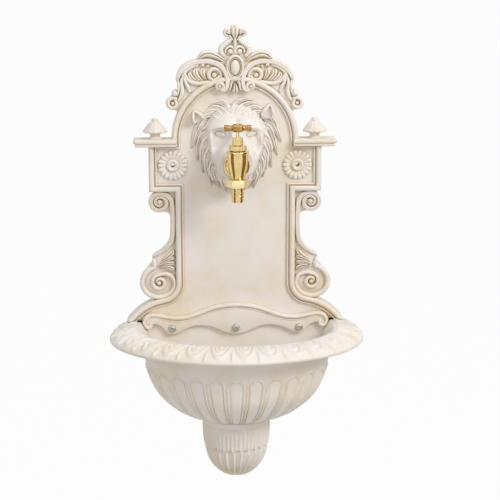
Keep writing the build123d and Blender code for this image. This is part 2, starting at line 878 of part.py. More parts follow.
# Heights in the tap, from the seat upwards and from the neck down
seat_z = tap_z - seat_drop
top_z = tap_z + body_top
neck_z = tap_z - neck_drop
union_high = neck_z - 2.2
union_low = union_high - union_height
lip_high = union_low + union_lip
flange_high = lip_high + running_fit + tail_flange_height
thread_low = flange_high + union_washer_height
tap_axis = Axis((0, -tap_depth, 0), (0, 0, 1))
tap_plane = Plane(origin=(0, -tap_depth, 0), x_dir=(1, 0, 0), z_dir=(0, -1, 0))
arm_back = mouth_depth + escutcheon_height
lock_nut_back = plate_back - lock_washer_height - lock_nut_height

with BuildPart() as tap_body:
    with BuildSketch(tap_plane):
        with BuildLine():
            Polyline(
                (0, thread_low),
                (outlet_thread_r, thread_low),
                (outlet_thread_r, neck_z - 1.8),
                (neck_r, neck_z),
                (neck_r, neck_z + 2),
                (body_r, tap_z + body_shoulder),
                (body_r, top_z - 1),
                (body_r - 1, top_z),
                (0, top_z),
                close=True,
            )
        make_face()
    revolve(axis=tap_axis)
    with BuildSketch(tube_axis(shank_end, tap_z)):
        Circle(shank_r)
    extrude(amount=arm_back - shank_end)
    # Thread relief between the free end of the inlet and the lock nut
    with BuildSketch(tube_axis(lock_nut_back - relief_width, tap_z)):
        add(ring(lock_washer_r, relief_r))
    extrude(amount=relief_width, mode=Mode.SUBTRACT)
    with BuildSketch(tube_axis(arm_back, tap_z)):
        Circle(collar_r)
    extrude(amount=collar_height)
    with BuildSketch(tube_axis(arm_back, tap_z)):
        Circle(arm_r)
    extrude(amount=tap_depth - arm_back)
    # Waterway: inlet, chamber above the seat, seat and outlet
    for low, high, radius in (
        (top_z - bonnet_thread_length, top_z, bonnet_thread_r + thread_fit),
        (seat_z, top_z, chamber_r),
        (seat_z - seat_height, seat_z, seat_r),
        (thread_low, seat_z - seat_height, outlet_bore_r),
    ):
        with BuildSketch(Plane.XY.offset(low)):
            with Locations((0, -tap_depth)):
                Circle(radius)
        extrude(amount=high - low, mode=Mode.SUBTRACT)
    with BuildSketch(tube_axis(shank_end, tap_z)):
        Circle(inlet_bore_r)
    extrude(amount=tap_depth - shank_end - chamber_r / 2, mode=Mode.SUBTRACT)

tap_body.part.label = "tap_body"
export_step(tap_body.part, "parts/tap_body.step")

with BuildPart() as tap_escutcheon:
    with BuildSketch(tube_axis(mouth_depth, tap_z)):
        add(ring(escutcheon_r, shank_r + thread_fit))
    extrude(amount=escutcheon_height)
    chamfer(tap_escutcheon.edges().group_by(Axis.Y)[0].sort_by(SortBy.LENGTH)[-1], escutcheon_height * 0.6)

tap_escutcheon.part.label = "tap_escutcheon"
export_step(tap_escutcheon.part, "parts/tap_escutcheon.step")

lock_ring = ring(lock_washer_r, shank_r + thread_fit)
lock_washer = prism(lock_ring, tube_axis(plate_back, tap_z), -lock_washer_height)
lock_washer.label = "tap_lock_washer"
export_step(lock_washer, "parts/tap_lock_washer.step")

lock_nut = prism(
    hex_prism_profile(lock_nut_hex, shank_r + thread_fit),
    tube_axis(plate_back - lock_washer_height, tap_z),
    -lock_nut_height,
)
lock_nut.label = "tap_lock_nut"
export_step(lock_nut, "parts/tap_lock_nut.step")

# Headwork: gasket, bonnet, packing and gland nut
hex_low = top_z + gasket_height
hex_high = hex_low + bonnet_hex_height
neck_high = hex_high + gland_neck_length
stuffing_low = neck_high - stuffing_depth
spindle_low = seat_z + valve_washer + jumper_plate
shoulder_z = spindle_low + spindle_thread_length
bore_top = shoulder_z + 5
top_plane = Plane(origin=(0, -tap_depth, top_z), x_dir=(1, 0, 0), z_dir=(0, 0, 1))

gasket = prism(ring(bonnet_hex / 2, bonnet_thread_r + thread_fit), top_plane, gasket_height)
gasket.label = "bonnet_gasket"
export_step(gasket, "parts/bonnet_gasket.step")

with BuildPart() as bonnet:
    with BuildSketch(Plane.XY.offset(top_z - bonnet_thread_length)):
        with Locations((0, -tap_depth)):
            Circle(bonnet_thread_r)
    extrude(amount=bonnet_thread_length + gasket_height)
    with BuildSketch(Plane.XY.offset(hex_low)):
        with Locations((0, -tap_depth)):
            RegularPolygon(bonnet_hex / 2, 6, major_radius=False)
    extrude(amount=bonnet_hex_height)
    with BuildSketch(Plane.XY.offset(hex_high)):
        with Locations((0, -tap_depth)):
            Circle(gland_neck_r)
    extrude(amount=gland_neck_length)
    for low, high, radius in (
        (top_z - bonnet_thread_length, bore_top, spindle_thread_r + running_fit),
        (bore_top, neck_high, stem_r + running_fit),
        (stuffing_low, neck_high, stuffing_r),
    ):
        with BuildSketch(Plane.XY.offset(low)):
            with Locations((0, -tap_depth)):
                Circle(radius)
        extrude(amount=high - low, mode=Mode.SUBTRACT)

bonnet.part.label = "bonnet"
export_step(bonnet.part, "parts/bonnet.step")

packing_high = neck_high - 1.5
packing_plane = Plane(origin=(0, -tap_depth, stuffing_low), x_dir=(1, 0, 0), z_dir=(0, 0, 1))
packing_ring = ring(stuffing_r - thread_fit, stem_r + running_fit)
packing = prism(packing_ring, packing_plane, packing_high - stuffing_low)
packing.label = "stem_packing"
export_step(packing, "parts/stem_packing.step")

gland_low = hex_high + 1.0
gland_high = neck_high + gland_cap

with BuildPart() as gland_nut:
    with BuildSketch(Plane.XY.offset(gland_low)):
        with Locations((0, -tap_depth)):
            add(hex_prism_profile(gland_hex, gland_neck_r + thread_fit))
    extrude(amount=neck_high + thread_fit - gland_low)
    with BuildSketch(Plane.XY.offset(neck_high + thread_fit)):
        with Locations((0, -tap_depth)):
            add(hex_prism_profile(gland_hex, stem_r + running_fit))
    extrude(amount=gland_high - neck_high - thread_fit)
    with BuildSketch(Plane.XY.offset(packing_high)):
        with Locations((0, -tap_depth)):
            add(packing_ring)
    extrude(amount=neck_high + thread_fit - packing_high)

gland_nut.part.label = "gland_nut"
export_step(gland_nut.part, "parts/gland_nut.step")

# Moving pieces of the valve, drawn closed: the jumper, its washer and nut, the spindle and its handle
with BuildPart() as jumper:
    for low, high, radius in (
        (seat_z + valve_washer, spindle_low - running_fit, jumper_plate_r),
        (spindle_low - running_fit, spindle_low + jumper_pin_length, jumper_pin_r),
        (seat_z - washer_nut - 0.6, seat_z + valve_washer, handle_screw_r),
    ):
        with BuildSketch(Plane.XY.offset(low)):
            with Locations((0, -tap_depth)):
                Circle(radius)
        extrude(amount=high - low)

jumper.part.label = "jumper"
export_step(jumper.part, "parts/jumper.step")

seat_plane = Plane(origin=(0, -tap_depth, seat_z), x_dir=(1, 0, 0), z_dir=(0, 0, 1))
valve_ring = prism(ring(valve_washer_r, handle_screw_r + thread_fit), seat_plane, valve_washer)
valve_ring.label = "jumper_washer"
export_step(valve_ring, "parts/jumper_washer.step")

jumper_nut = prism(hex_prism_profile(washer_nut_hex, handle_screw_r + thread_fit), seat_plane, -washer_nut)
jumper_nut.label = "washer_nut"
export_step(jumper_nut, "parts/washer_nut.step")

hub_low = gland_high + stem_gap
handle_z = hub_low + handle_hub_r
stem_top = handle_z + 1.5

with BuildPart() as spindle:
    for low, high, radius in ((spindle_low, shoulder_z, spindle_thread_r), (shoulder_z, stem_top, stem_r)):
        with BuildSketch(Plane.XY.offset(low)):
            with Locations((0, -tap_depth)):
                Circle(radius)
        extrude(amount=high - low)
    for low, high, radius in (
        (spindle_low, spindle_low + jumper_pin_length + 1, jumper_pin_r + running_fit),
        (stem_top - 8, stem_top, handle_screw_r),
    ):
        with BuildSketch(Plane.XY.offset(low)):
            with Locations((0, -tap_depth)):
                Circle(radius)
        extrude(amount=high - low, mode=Mode.SUBTRACT)

spindle.part.label = "spindle"
export_step(spindle.part, "parts/spindle.step")

handle_profile = [
    (-handle_half, 0),
    (-handle_half, handle_end_r - 0.8),
    (-handle_half + 0.8, handle_end_r),
    (-handle_half + 4, handle_end_r),
    (-handle_hub_half - 2.5, handle_waist_r),
    (-handle_hub_half, handle_hub_r - 1),
    (-handle_hub_half + 1, handle_hub_r),
]
screw_seat = handle_z + handle_hub_r - 1.6

with BuildPart() as tee_handle:
    with BuildSketch(Plane(origin=(0, -tap_depth, handle_z), x_dir=(1, 0, 0), z_dir=(0, -1, 0))):
        with BuildLine():
            Polyline(*handle_profile, *[(-x, r) for x, r in reversed(handle_profile)], close=True)
        make_face()
    revolve(axis=Axis((0, -tap_depth, handle_z), (1, 0, 0)))
    for low, high, radius in (
        (hub_low - 1, stem_top + thread_fit, stem_r + thread_fit),
        (stem_top, screw_seat, handle_screw_r + loose_fit),
        (screw_seat, screw_seat + handle_hub_r, 2 * handle_screw_r + loose_fit),
    ):
        with BuildSketch(Plane.XY.offset(low)):
            with Locations((0, -tap_depth)):
                Circle(radius)
        extrude(amount=high - low, mode=Mode.SUBTRACT)

tee_handle.part.label = "tee_handle"
export_step(tee_handle.part, "parts/tee_handle.step")

with BuildPart() as handle_screw:
    for low, high, radius in (
        (stem_top - 7, screw_seat, handle_screw_r - thread_fit),
        (screw_seat, screw_seat + 1.5 * handle_screw_r, 2 * handle_screw_r),
    ):
        with BuildSketch(Plane.XY.offset(low)):
            with Locations((0, -tap_depth)):
                Circle(radius)
        extrude(amount=high - low)
    with BuildSketch(Plane.XY.offset(screw_seat + 0.7 * handle_screw_r)):
        with Locations((0, -tap_depth)):
            Rectangle(5 * handle_screw_r, 0.5 * handle_screw_r)
    extrude(amount=handle_screw_r, mode=Mode.SUBTRACT)

handle_screw.part.label = "handle_screw"
export_step(handle_screw.part, "parts/handle_screw.step")

# Hose union under the outlet: washer, tail with its flange and ridges, and the nut that draws it up
union_bore = outlet_thread_r + 2 * running_fit
union_plane = Plane(origin=(0, -tap_depth, flange_high), x_dir=(1, 0, 0), z_dir=(0, 0, 1))

union_ring = prism(ring(union_bore - 2 * loose_fit, tail_bore_r), union_plane, union_washer_height)
union_ring.label = "union_washer"
export_step(union_ring, "parts/union_washer.step")

tail_end = union_low - tail_length
ridge_pitch = (tail_length - tail_tip) / (tail_ridges + 0.5)
with BuildPart() as hose_tail:
    with BuildSketch(tap_plane):
        with BuildLine():
            corners = [(tail_bore_r, flange_high), (union_bore - 2 * loose_fit, flange_high)]
            corners += [(radius, lip_high + running_fit) for radius in (union_bore - 2 * loose_fit, tail_r)]
            for index in range(tail_ridges):
                ridge_z = union_low - ridge_pitch * (index + 0.5)
                corners.append((tail_r, ridge_z))
                corners.append((tail_r + tail_ridge_rise, ridge_z))
                corners.append((tail_r, ridge_z - ridge_pitch * 0.9))
            corners += [(tail_r, tail_end), (tail_bore_r, tail_end)]
            Polyline(*corners, close=True)
        make_face()
    revolve(axis=tap_axis)

hose_tail.part.label = "hose_tail"
export_step(hose_tail.part, "parts/hose_tail.step")

with BuildPart() as union_nut:
    with BuildSketch(Plane.XY.offset(union_low)):
        with Locations((0, -tap_depth)):
            RegularPolygon(union_hex / 2, 6, major_radius=False)
    extrude(amount=union_height)
    for low, high, radius in (
        (union_low, lip_high, tail_r + 2 * running_fit),
        (lip_high, union_high, union_bore),
    ):
        with BuildSketch(Plane.XY.offset(low)):
            with Locations((0, -tap_depth)):
                Circle(radius)
        extrude(amount=high - low, mode=Mode.SUBTRACT)

union_nut.part.label = "union_nut"
export_step(union_nut.part, "parts/union_nut.step")
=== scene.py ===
"""Surfaces and finishes of a cast wall fountain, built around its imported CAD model.

Shapes are worked out in millimetres in the part's own frame: X to the right, Z up, and a depth out from
the wall, which is -Y. A patch is a pair of arrays, its points and its faces, and a piece joins patches.
"""
import json
import math

import bmesh
import bpy
import numpy as np
from bpy.props import FloatProperty, FloatVectorProperty, IntProperty, PointerProperty
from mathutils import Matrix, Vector
from mathutils.geometry import delaunay_2d_cdt


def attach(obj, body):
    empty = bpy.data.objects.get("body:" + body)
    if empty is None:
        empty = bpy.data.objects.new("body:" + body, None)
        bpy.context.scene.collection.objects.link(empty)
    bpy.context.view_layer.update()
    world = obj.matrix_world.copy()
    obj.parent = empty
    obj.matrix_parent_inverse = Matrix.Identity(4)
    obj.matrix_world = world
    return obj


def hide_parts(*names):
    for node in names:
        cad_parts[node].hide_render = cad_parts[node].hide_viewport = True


bl_info = {
    "name": "Wall Fountain",
    "version": (1, 0, 0),
    "blender": (4, 5, 0),
    "location": "3D View > Sidebar > Fountain",
    "description": "Builds the surfaces and finishes of a cast wall fountain around its CAD frame",
    "category": "Object",
}

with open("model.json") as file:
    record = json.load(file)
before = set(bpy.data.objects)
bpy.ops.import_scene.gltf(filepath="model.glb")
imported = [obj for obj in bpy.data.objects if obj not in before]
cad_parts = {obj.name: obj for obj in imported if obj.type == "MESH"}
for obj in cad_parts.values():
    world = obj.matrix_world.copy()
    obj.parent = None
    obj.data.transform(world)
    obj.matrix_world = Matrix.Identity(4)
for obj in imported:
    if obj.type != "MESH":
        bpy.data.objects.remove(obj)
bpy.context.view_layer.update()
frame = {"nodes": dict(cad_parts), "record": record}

MM = 0.001
# Depths out from the wall, and places, in millimetres
FIELD_DEPTH = 22.0
PLATE_BACK = 17.0
WEB_BACK = 5.0
HOLE_X = 98.5
TAP_DEPTH = 106.0
TAP_Z = 5.5
# The panel's edge: an arch on two square blocks, over a waist that ends in a cove and a flare
ARCH_R, ARCH_Z = 100.0, 40.0
BLOCK_HALF, BLOCK_TOP, BLOCK_LOW = 136.5, 39.5, -42.0
WAIST_HALF = 95.0
COVE, COVE_R = (119.0, -190.0), 24.0
FLARE_R = 93.0
PANEL_FOOT = -251.4
BORDER_WIDTH = 13.0
SKIRT_WALL = 5.0
HOLLOW_FLOOR = -246.0
# Shelves and the finials on them
SHELF_END, SHELF_INNER, SHELF_FRONT = 160.0, 92.0, 38.0
FINIAL_X, FINIAL_DEPTH = 125.6, 19.6
CARTOUCHE_Z = 153.5
# Basin and corbel
RIM_TOP, BOWL_FOOT = -252.0, -402.0
NUT_SPACE = 16.0
CORBEL_DEPTH = 40.0
# Stage, in metres
LAMP_AIM = (0, -0.05, -0.1)
FLOOR_REACH = 200.0
CAMERA_PLACE = (-0.101, -2.2, 0.3175)
CAMERA_AIM = (0.0234, -0.022, -0.1375)
CAMERA_LENS = 100.3


def linear(hex_colour):
    """An sRGB hex colour as linear red, green, blue and alpha."""
    value = np.array([int(hex_colour[i:i + 2], 16) for i in (1, 3, 5)]) / 255
    value = np.where(value <= 0.04045, value / 12.92, ((value + 0.055) / 1.055) ** 2.4)
    return (*value.tolist(), 1.0)


def add_node(tree, kind, inputs=None, **settings):
    """Adds a shader node, sets its properties, and fills its inputs: a socket is linked, a value is set."""
    made = tree.nodes.new("ShaderNode" + kind)
    for name, value in settings.items():
        setattr(made, name, value)
    for name, value in (inputs or {}).items():
        if isinstance(value, bpy.types.NodeSocket):
            tree.links.new(value, made.inputs[name])
        else:
            made.inputs[name].default_value = value
    return made


def new_material(name):
    """An empty node material and its output node."""
    material = bpy.data.materials.new(name)
    material.use_nodes = True
    material.node_tree.nodes.clear()
    return material, material.node_tree, add_node(material.node_tree, "OutputMaterial")


def ivory_paint(name, light, warm, colours, hollow_share, crease_share):
    """Cast metal, spray painted ivory and wiped with an ochre wash that stays in the hollows.

    The eye sees a satin cream with warm brown lines beside every moulding, faint clouds on the plain field,
    paler edges where the wash was wiped off, and the grain of the sand mould.
    """
    material, tree, output = new_material(name)
    place = add_node(tree, "TexCoord").outputs["Object"]
    # Clouds of the wiped wash, about 60 mm across, broken by dabs of 8 mm
    clouds = add_node(tree, "TexNoise", {"Vector": place, "Scale": 15.0, "Detail": 4.0, "Roughness": 0.55})
    dabs = add_node(tree, "TexNoise", {"Vector": place, "Scale": 130.0, "Detail": 4.0, "Roughness": 0.65})
    cloudy = add_node(tree, "MapRange", {"Value": clouds.outputs["Fac"], "From Min": 0.44, "From Max": 0.7})
    dabbed = add_node(
        tree, "MapRange", {"Value": dabs.outputs["Fac"], "From Min": 0.3, "From Max": 0.7, "To Min": 0.35}
    )
    stain = add_node(
        tree, "Math", {0: cloudy.outputs["Result"], 1: dabbed.outputs["Result"]}, operation="MULTIPLY", use_clamp=True
    )
    # Hollows within 12 mm hold the wash, and within 3 mm its darker line
    hollow = add_node(tree, "AmbientOcclusion", {"Distance": 0.012}, samples=8)
    crease = add_node(tree, "AmbientOcclusion", {"Distance": 0.003}, samples=8)
    hollowed = add_node(
        tree, "MapRange", {"Value": hollow.outputs["AO"], "From Min": 0.8, "From Max": 0.2, "To Max": hollow_share}
    )
    creased = add_node(
        tree, "MapRange", {"Value": crease.outputs["AO"], "From Min": 0.8, "From Max": 0.3, "To Max": crease_share}
    )
    wash = add_node(
        tree, "Math", {0: hollowed.outputs["Result"], 1: dabbed.outputs["Result"]}, operation="MULTIPLY", use_clamp=True
    )
    ivory = add_node(tree, "Mix", {"Factor": stain.outputs[0], 6: light, 7: warm}, data_type="RGBA")
    washed = add_node(tree, "Mix", {"Factor": wash.outputs[0], 6: ivory.outputs[2], 7: colours.wash}, data_type="RGBA")
    lined = add_node(
        tree, "Mix", {"Factor": creased.outputs["Result"], 6: washed.outputs[2], 7: colours.crease}, data_type="RGBA"
    )
    # Sand grain, drawn at 1.6 mm so that it shows in the render
    grain = add_node(tree, "TexNoise", {"Vector": place, "Scale": 620.0, "Detail": 2.0})
    swells = add_node(tree, "TexNoise", {"Vector": place, "Scale": 55.0, "Detail": 2.0})
    gloss = add_node(tree, "MapRange", {"Value": dabs.outputs["Fac"], "To Min": 0.42, "To Max": 0.62})
    soft = add_node(tree, "Bump", {"Height": swells.outputs["Fac"], "Strength": 0.25, "Distance": 0.0022})
    fine = add_node(
        tree, "Bump",
        {"Height": grain.outputs["Fac"], "Strength": 0.16, "Distance": 0.0006, "Normal": soft.outputs["Normal"]},
    )
    paint = add_node(
        tree, "BsdfPrincipled",
        {"Base Color": lined.outputs[2], "Roughness": gloss.outputs["Result"], "Normal": fine.outputs["Normal"],
         "IOR": 1.5, "Specular IOR Level": 0.4},
    )
    tree.links.new(paint.outputs[0], output.inputs[0])
    return material


def antiqued_paint(colours):
    """Panel: the wash was left in every hollow and in clouds on the field."""
    return ivory_paint("antiqued_ivory_paint", colours.ivory, colours.warm_ivory, colours, 0.4, 0.85)


def thinned_paint(colours):
    """Crest, rosettes, basin and corbel: whiter, with a thinner wash."""
    return ivory_paint("thinned_ivory_paint", colours.white_ivory, colours.cream, colours, 0.34, 0.85)


def rubbed_paint(colours):
    """Mask: most of the wash was rubbed off again."""
    return ivory_paint("rubbed_ivory_paint", colours.white_ivory, colours.ivory, colours, 0.06, 0.5)


def brass(name, light, dark, gloss_range):
    """Brass that was turned and buffed: reflections softened by faint rings from the wheel."""
    material, tree, output = new_material(name)
    place = add_node(tree, "TexCoord").outputs["Object"]
    # Buffing marks, about 1 mm apart
    marks = add_node(tree, "TexNoise", {"Vector": place, "Scale": 900.0, "Detail": 3.0})
    patches = add_node(tree, "TexNoise", {"Vector": place, "Scale": 90.0, "Detail": 2.0})
    gloss = add_node(
        tree, "MapRange", {"Value": patches.outputs["Fac"], "To Min": gloss_range[0], "To Max": gloss_range[1]}
    )
    tint = add_node(tree, "Mix", {"Factor": patches.outputs["Fac"], 6: light, 7: dark}, data_type="RGBA")
    bump = add_node(tree, "Bump", {"Height": marks.outputs["Fac"], "Strength": 0.04, "Distance": 0.0003})
    metal = add_node(
        tree, "BsdfPrincipled",
        {"Base Color": tint.outputs[2], "Metallic": 1.0, "Roughness": gloss.outputs["Result"],
         "Normal": bump.outputs["Normal"]},
    )
    tree.links.new(metal.outputs[0], output.inputs[0])
    return material


def polished_brass(colours):
    """The tap's body: a sharp polish."""
    return brass("polished_brass", colours.brass, colours.deep_brass, (0.1, 0.22))


def satin_brass(colours):
    """The union nut: pale and brushed."""
    return brass("satin_brass", colours.pale_brass, colours.brass, (0.42, 0.55))


def dark_reflection_brass(colours):
    """The tee handle: brass coloured dark brown as a painted reflection of the dim room it mirrors, with some polish
    left.
    """
    return brass("dark_reflection_brass", colours.painted_reflection_brown, colours.deep_brass, (0.2, 0.34))


def zinc_plate(colours):
    """Zinc-plated steel fasteners: grey and cloudy, with a soft sheen."""
    material, tree, output = new_material("zinc_plated_steel")
    place = add_node(tree, "TexCoord").outputs["Object"]
    # Spangle of the plating, about 2 mm across
    spangle = add_node(tree, "TexVoronoi", {"Vector": place, "Scale": 500.0})
    tint = add_node(
        tree, "Mix", {"Factor": spangle.outputs["Distance"], 6: colours.steel, 7: colours.dark_steel}, data_type="RGBA"
    )
    gloss = add_node(tree, "MapRange", {"Value": spangle.outputs["Distance"], "To Min": 0.3, "To Max": 0.5})
    metal = add_node(
        tree, "BsdfPrincipled",
        {"Base Color": tint.outputs[2], "Metallic": 1.0, "Roughness": gloss.outputs["Result"]},
    )
    tree.links.new(metal.outputs[0], output.inputs[0])
    return material


def moulded_rubber(colours):
    """Black moulded rubber: matt, with a fine mould texture."""
    material, tree, output = new_material("moulded_rubber")
    place = add_node(tree, "TexCoord").outputs["Object"]
    skin = add_node(tree, "TexNoise", {"Vector": place, "Scale": 1500.0})
    bump = add_node(tree, "Bump", {"Height": skin.outputs["Fac"], "Strength": 0.2, "Distance": 0.0003})
    rubber = add_node(
        tree, "BsdfPrincipled",
        {"Base Color": colours.rubber, "Roughness": 0.75, "IOR": 1.52, "Normal": bump.outputs["Normal"]},
    )
    tree.links.new(rubber.outputs[0], output.inputs[0])
    return material


def spots(x, depth, z):
    """Points of the part's frame from coordinates in millimetres, with depth measured out from the wall."""
    x, depth, z = np.broadcast_arrays(x, depth, z)
    return np.stack([x, -depth, z], -1).astype(float)


def sheet(grid):
    """A patch whose faces join each point of a grid to its neighbours."""
    index = np.arange(grid.shape[0] * grid.shape[1]).reshape(grid.shape[:2])
    quads = np.stack([index[:-1, :-1], index[:-1, 1:], index[1:, 1:], index[1:, :-1]], -1)
    return grid.reshape(-1, 3), quads.reshape(-1, 4)


def tube(rows):
    """A patch over closed rows of points: each row's last point is joined to its first."""
    return sheet(np.concatenate([rows, rows[:, :1]], 1))


def at_depth(loop, depth):
    """The points of a loop of (x, z) points, at a depth from the wall."""
    return spots(loop[:, 0], depth, loop[:, 1])


def inside(spot, loops):
    """Which points lie inside an odd number of loops: each loop's edges that a level line to the right meets."""
    crossings = np.zeros(len(spot), int)
    for loop in loops:
        begin, end = loop, np.roll(loop, -1, 0)
        x, z = spot[:, :1], spot[:, 1:]
        straddles = (begin[:, 1] > z) != (end[:, 1] > z)
        rise = np.where(end[:, 1] == begin[:, 1], 1, end[:, 1] - begin[:, 1])
        meets = begin[:, 0] + (z - begin[:, 1]) * (end[:, 0] - begin[:, 0]) / rise > x
        crossings += (straddles & meets).sum(1)
    return crossings % 2 == 1


def flat(loops, depth):
    """A level patch at a depth from the wall, between an outer loop of (x, z) points and any holes in it."""
    corners = np.concatenate(loops)
    edges, start = [], 0
    for loop in loops:
        index = start + np.arange(len(loop))
        edges += np.stack([index, np.roll(index, -1)], -1).tolist()
        start += len(loop)
    made = delaunay_2d_cdt([Vector(corner) for corner in corners.tolist()], edges, [], 0, 1e-5)
    spot, faces = np.array([tuple(v) for v in made[0]]), np.array(made[2])
    faces = faces[inside(spot[faces].mean(1), loops)]
    return at_depth(spot, depth), faces


def level(row, z):
    """A level face at a height, inside a row of points seen from above."""
    points, faces = flat([row[:, :2] * (1, -1)], 0)
    return np.stack([points[:, 0], -points[:, 2], np.full(len(points), z)], -1), faces


def mirrored(patch):
    """A patch's image on the other side of the middle."""
    return patch[0] * (-1, 1, 1), patch[1][:, ::-1]


def both(patches):
    """Patches together with their images on the other side."""
    return [*patches, *map(mirrored, patches)]


def whole(half):
    """A loop from its right half, which starts and ends on the middle line, and the half's mirror image."""
    return np.concatenate([half, (half[1:-1] * (-1, 1))[::-1]])


def curve(corners, steps=10, closed=False):
    """A smooth line through corners: a Catmull-Rom cubic between each two of them."""
    corners = np.asarray(corners, float)
    if closed:
        padded = np.concatenate([corners[-1:], corners, corners[:2]])
    else:
        padded = np.concatenate([2 * corners[:1] - corners[1:2], corners, 2 * corners[-1:] - corners[-2:-1]])
    before, start, end, after = (padded[i:len(padded) - 3 + i, None] for i in range(4))
    t = np.linspace(0, 1, steps, endpoint=False)[:, None]
    line = 0.5 * (
        2 * start + (end - before) * t + (2 * before - 5 * start + 4 * end - after) * t**2
        + (3 * start - before - 3 * end + after) * t**3
    )
    line = line.reshape(-1, corners.shape[1])
    return line if closed else np.concatenate([line, corners[-1:]])


def even(line, count):
    """A line with its points set at equal distances."""
    run = np.concatenate([[0], np.cumsum(np.linalg.norm(np.diff(line, axis=0), axis=1))])
    at = np.linspace(0, run[-1], count)
    return np.stack([np.interp(at, run, line[:, i]) for i in range(line.shape[1])], -1)


def arc(centre, radius, start, end, count):
    """Points (x, z) at equal steps on a circle, between two angles."""
    turn = np.linspace(start, end, count)
    return np.asarray(centre) + radius * np.stack([np.cos(turn), np.sin(turn)], -1)


def spiral(centre, turns):
    """A spiral about a centre, from (angle in degrees, radius) pairs, with the radius straight between them."""
    angle, radius = np.array(turns, float).T
    sign = np.sign(angle[-1] - angle[0])
    at = np.linspace(angle[0], angle[-1], 1 + int(abs(angle[-1] - angle[0]) / 7))
    reach = np.interp(sign * at, sign * angle, radius)
    turn = np.radians(at)
    return np.stack([centre[0] + reach * np.cos(turn), centre[1] + reach * np.sin(turn)], -1)


def ridge(offset, width):
    """A ridge of height 1: the exponential of minus the square of the offset from its crest over its width."""
    return np.exp(-((offset / width) ** 2))


def eased(share):
    """A share from 0 to 1 with level ends: the cubic 3 s^2 - 2 s^3."""
    return share * share * (3 - 2 * share)


def stretched(values, count):
    """One value, or several at equal steps, read off at a count of equal steps."""
    return np.interp(np.linspace(0, 1, count), np.linspace(0, 1, np.size(values)), np.atleast_1d(values))


def rib_section(reeds, groove, count):
    """Across and height, from -1 to 1 and 0 to 1, of a moulding.

    It is half a circle, with a wave of reeds in its crown and a groove along its middle.
    """
    turn = np.linspace(0, math.pi, count)
    across, height = -np.cos(turn), np.sin(turn) ** 0.75
    if reeds:
        height = height * (1 - 0.4 * np.abs(np.sin(reeds * math.pi * (across + 1) / 2 + math.pi / 2)) ** 6)
    return across, height * (1 - groove * ridge(across, 0.2))


def rib(line, half, rise, base, reeds=0, groove=0.0, sink=3.0, ease=(0.06, 0.06)):
    """A moulding carried along a line of (x, z) points, its foot at a base depth, its ends eased to a point.

    Each point is the line's, moved along the line's normal by across times half, and out by height times rise.
    """
    line = np.asarray(line, float)
    count = len(line)
    run = np.linspace(0, 1, count)
    shrink = np.ones(count)
    for share, end in zip(ease, (run, 1 - run)):
        if share:
            shrink = np.minimum(shrink, np.sqrt(np.clip(1 - (1 - np.minimum(end / share, 1)) ** 2, 0, 1)))
    half, rise = (stretched(each, count) * np.maximum(shrink, 0.02) for each in (half, rise))
    base, sink = stretched(base, count), stretched(sink, count)
    along = np.gradient(line, axis=0)
    along /= np.linalg.norm(along, axis=1, keepdims=True) + 1e-9
    across, height = rib_section(reeds, groove, 13 + 8 * reeds + (6 if groove else 0))
    across = np.concatenate([[-1], across, [1]])
    lift = np.concatenate([[0], height, [0]])
    drop = np.concatenate([[1], np.zeros(len(height)), [1]])
    x = line[:, :1] - along[:, 1:] * across * half[:, None]
    z = line[:, 1:] + along[:, :1] * across * half[:, None]
    depth = base[:, None] + lift * rise[:, None] - drop * sink[:, None]
    grid = spots(x, depth, z)
    ends = [np.repeat(row.mean(0, keepdims=True), len(row), 0)[None] for row in (grid[0], grid[-1])]
    return tube(np.concatenate([ends[0], grid, ends[1]]))


def strand(corners, count, half, rise, base, *more):
    """A moulding along a smooth line through corners, with a count of points at equal distances."""
    return rib(even(curve(corners), count), half, rise, base, *more)


def ball(x, z, base, radius, rise, sink=3.0):
    """A rounded boss: rings that narrow as half an ellipse rises from its foot, over a short skirt."""
    turn = np.linspace(0, 2 * math.pi, 25)
    up = np.linspace(0, math.pi / 2, 8)[:, None]
    reach, lift = np.concatenate([[[1.0]], np.cos(up)]), np.concatenate([[[-sink / rise]], np.sin(up)])
    return sheet(spots(x + radius * reach * np.cos(turn), base + rise * lift, z + radius * reach * np.sin(turn)))


def lobe(line, half, rise, base, sink=3.0):
    """A leaf lobe: a moulding with a vein on each side, which swells from a narrow root to a broad tip."""
    swell = half * np.array([0.35, 0.62, 0.86, 1.0, 0.97, 0.7])
    lift = rise * np.array([0.6, 0.85, 1.0, 1.0, 0.9, 0.7])
    return strand(line, 26, swell, lift, base, 2, 0.0, sink, (0.05, 0.22))


def plate(outline, front, back, bevel=1.0):
    """A flat casting: a front and a back face inside an outline, and a wall between them with an eased front edge."""
    along = np.roll(outline, -1, 0) - np.roll(outline, 1, 0)
    along /= np.linalg.norm(along, axis=1, keepdims=True) + 1e-9
    inward = np.stack([-along[:, 1], along[:, 0]], -1)
    if (outline[:, 0] * np.roll(outline[:, 1], -1) - outline[:, 1] * np.roll(outline[:, 0], -1)).sum() < 0:
        inward = -inward
    easing = [(0, back), (0, front - bevel), (0.3 * bevel, front - 0.3 * bevel), (bevel, front)]
    rows = np.stack([at_depth(outline + inset * inward, depth) for inset, depth in easing])
    return [tube(rows), flat([outline + bevel * inward], front), flat([outline], back)]


def lathe(profile, x, depth, around=64, steps=6, wave=0.0, waves=8):
    """A turned form about an upright axis: a smooth profile of (radius, z) corners, its radius waved round the axis."""
    line = curve(profile, steps) if steps else np.asarray(profile, float)
    turn = np.linspace(0, 2 * math.pi, around + 1)
    radius = np.maximum(line[:, :1], 0) * (1 + wave * np.cos(waves * turn))
    return sheet(spots(x + radius * np.cos(turn), depth + radius * np.sin(turn), line[:, 1:]))


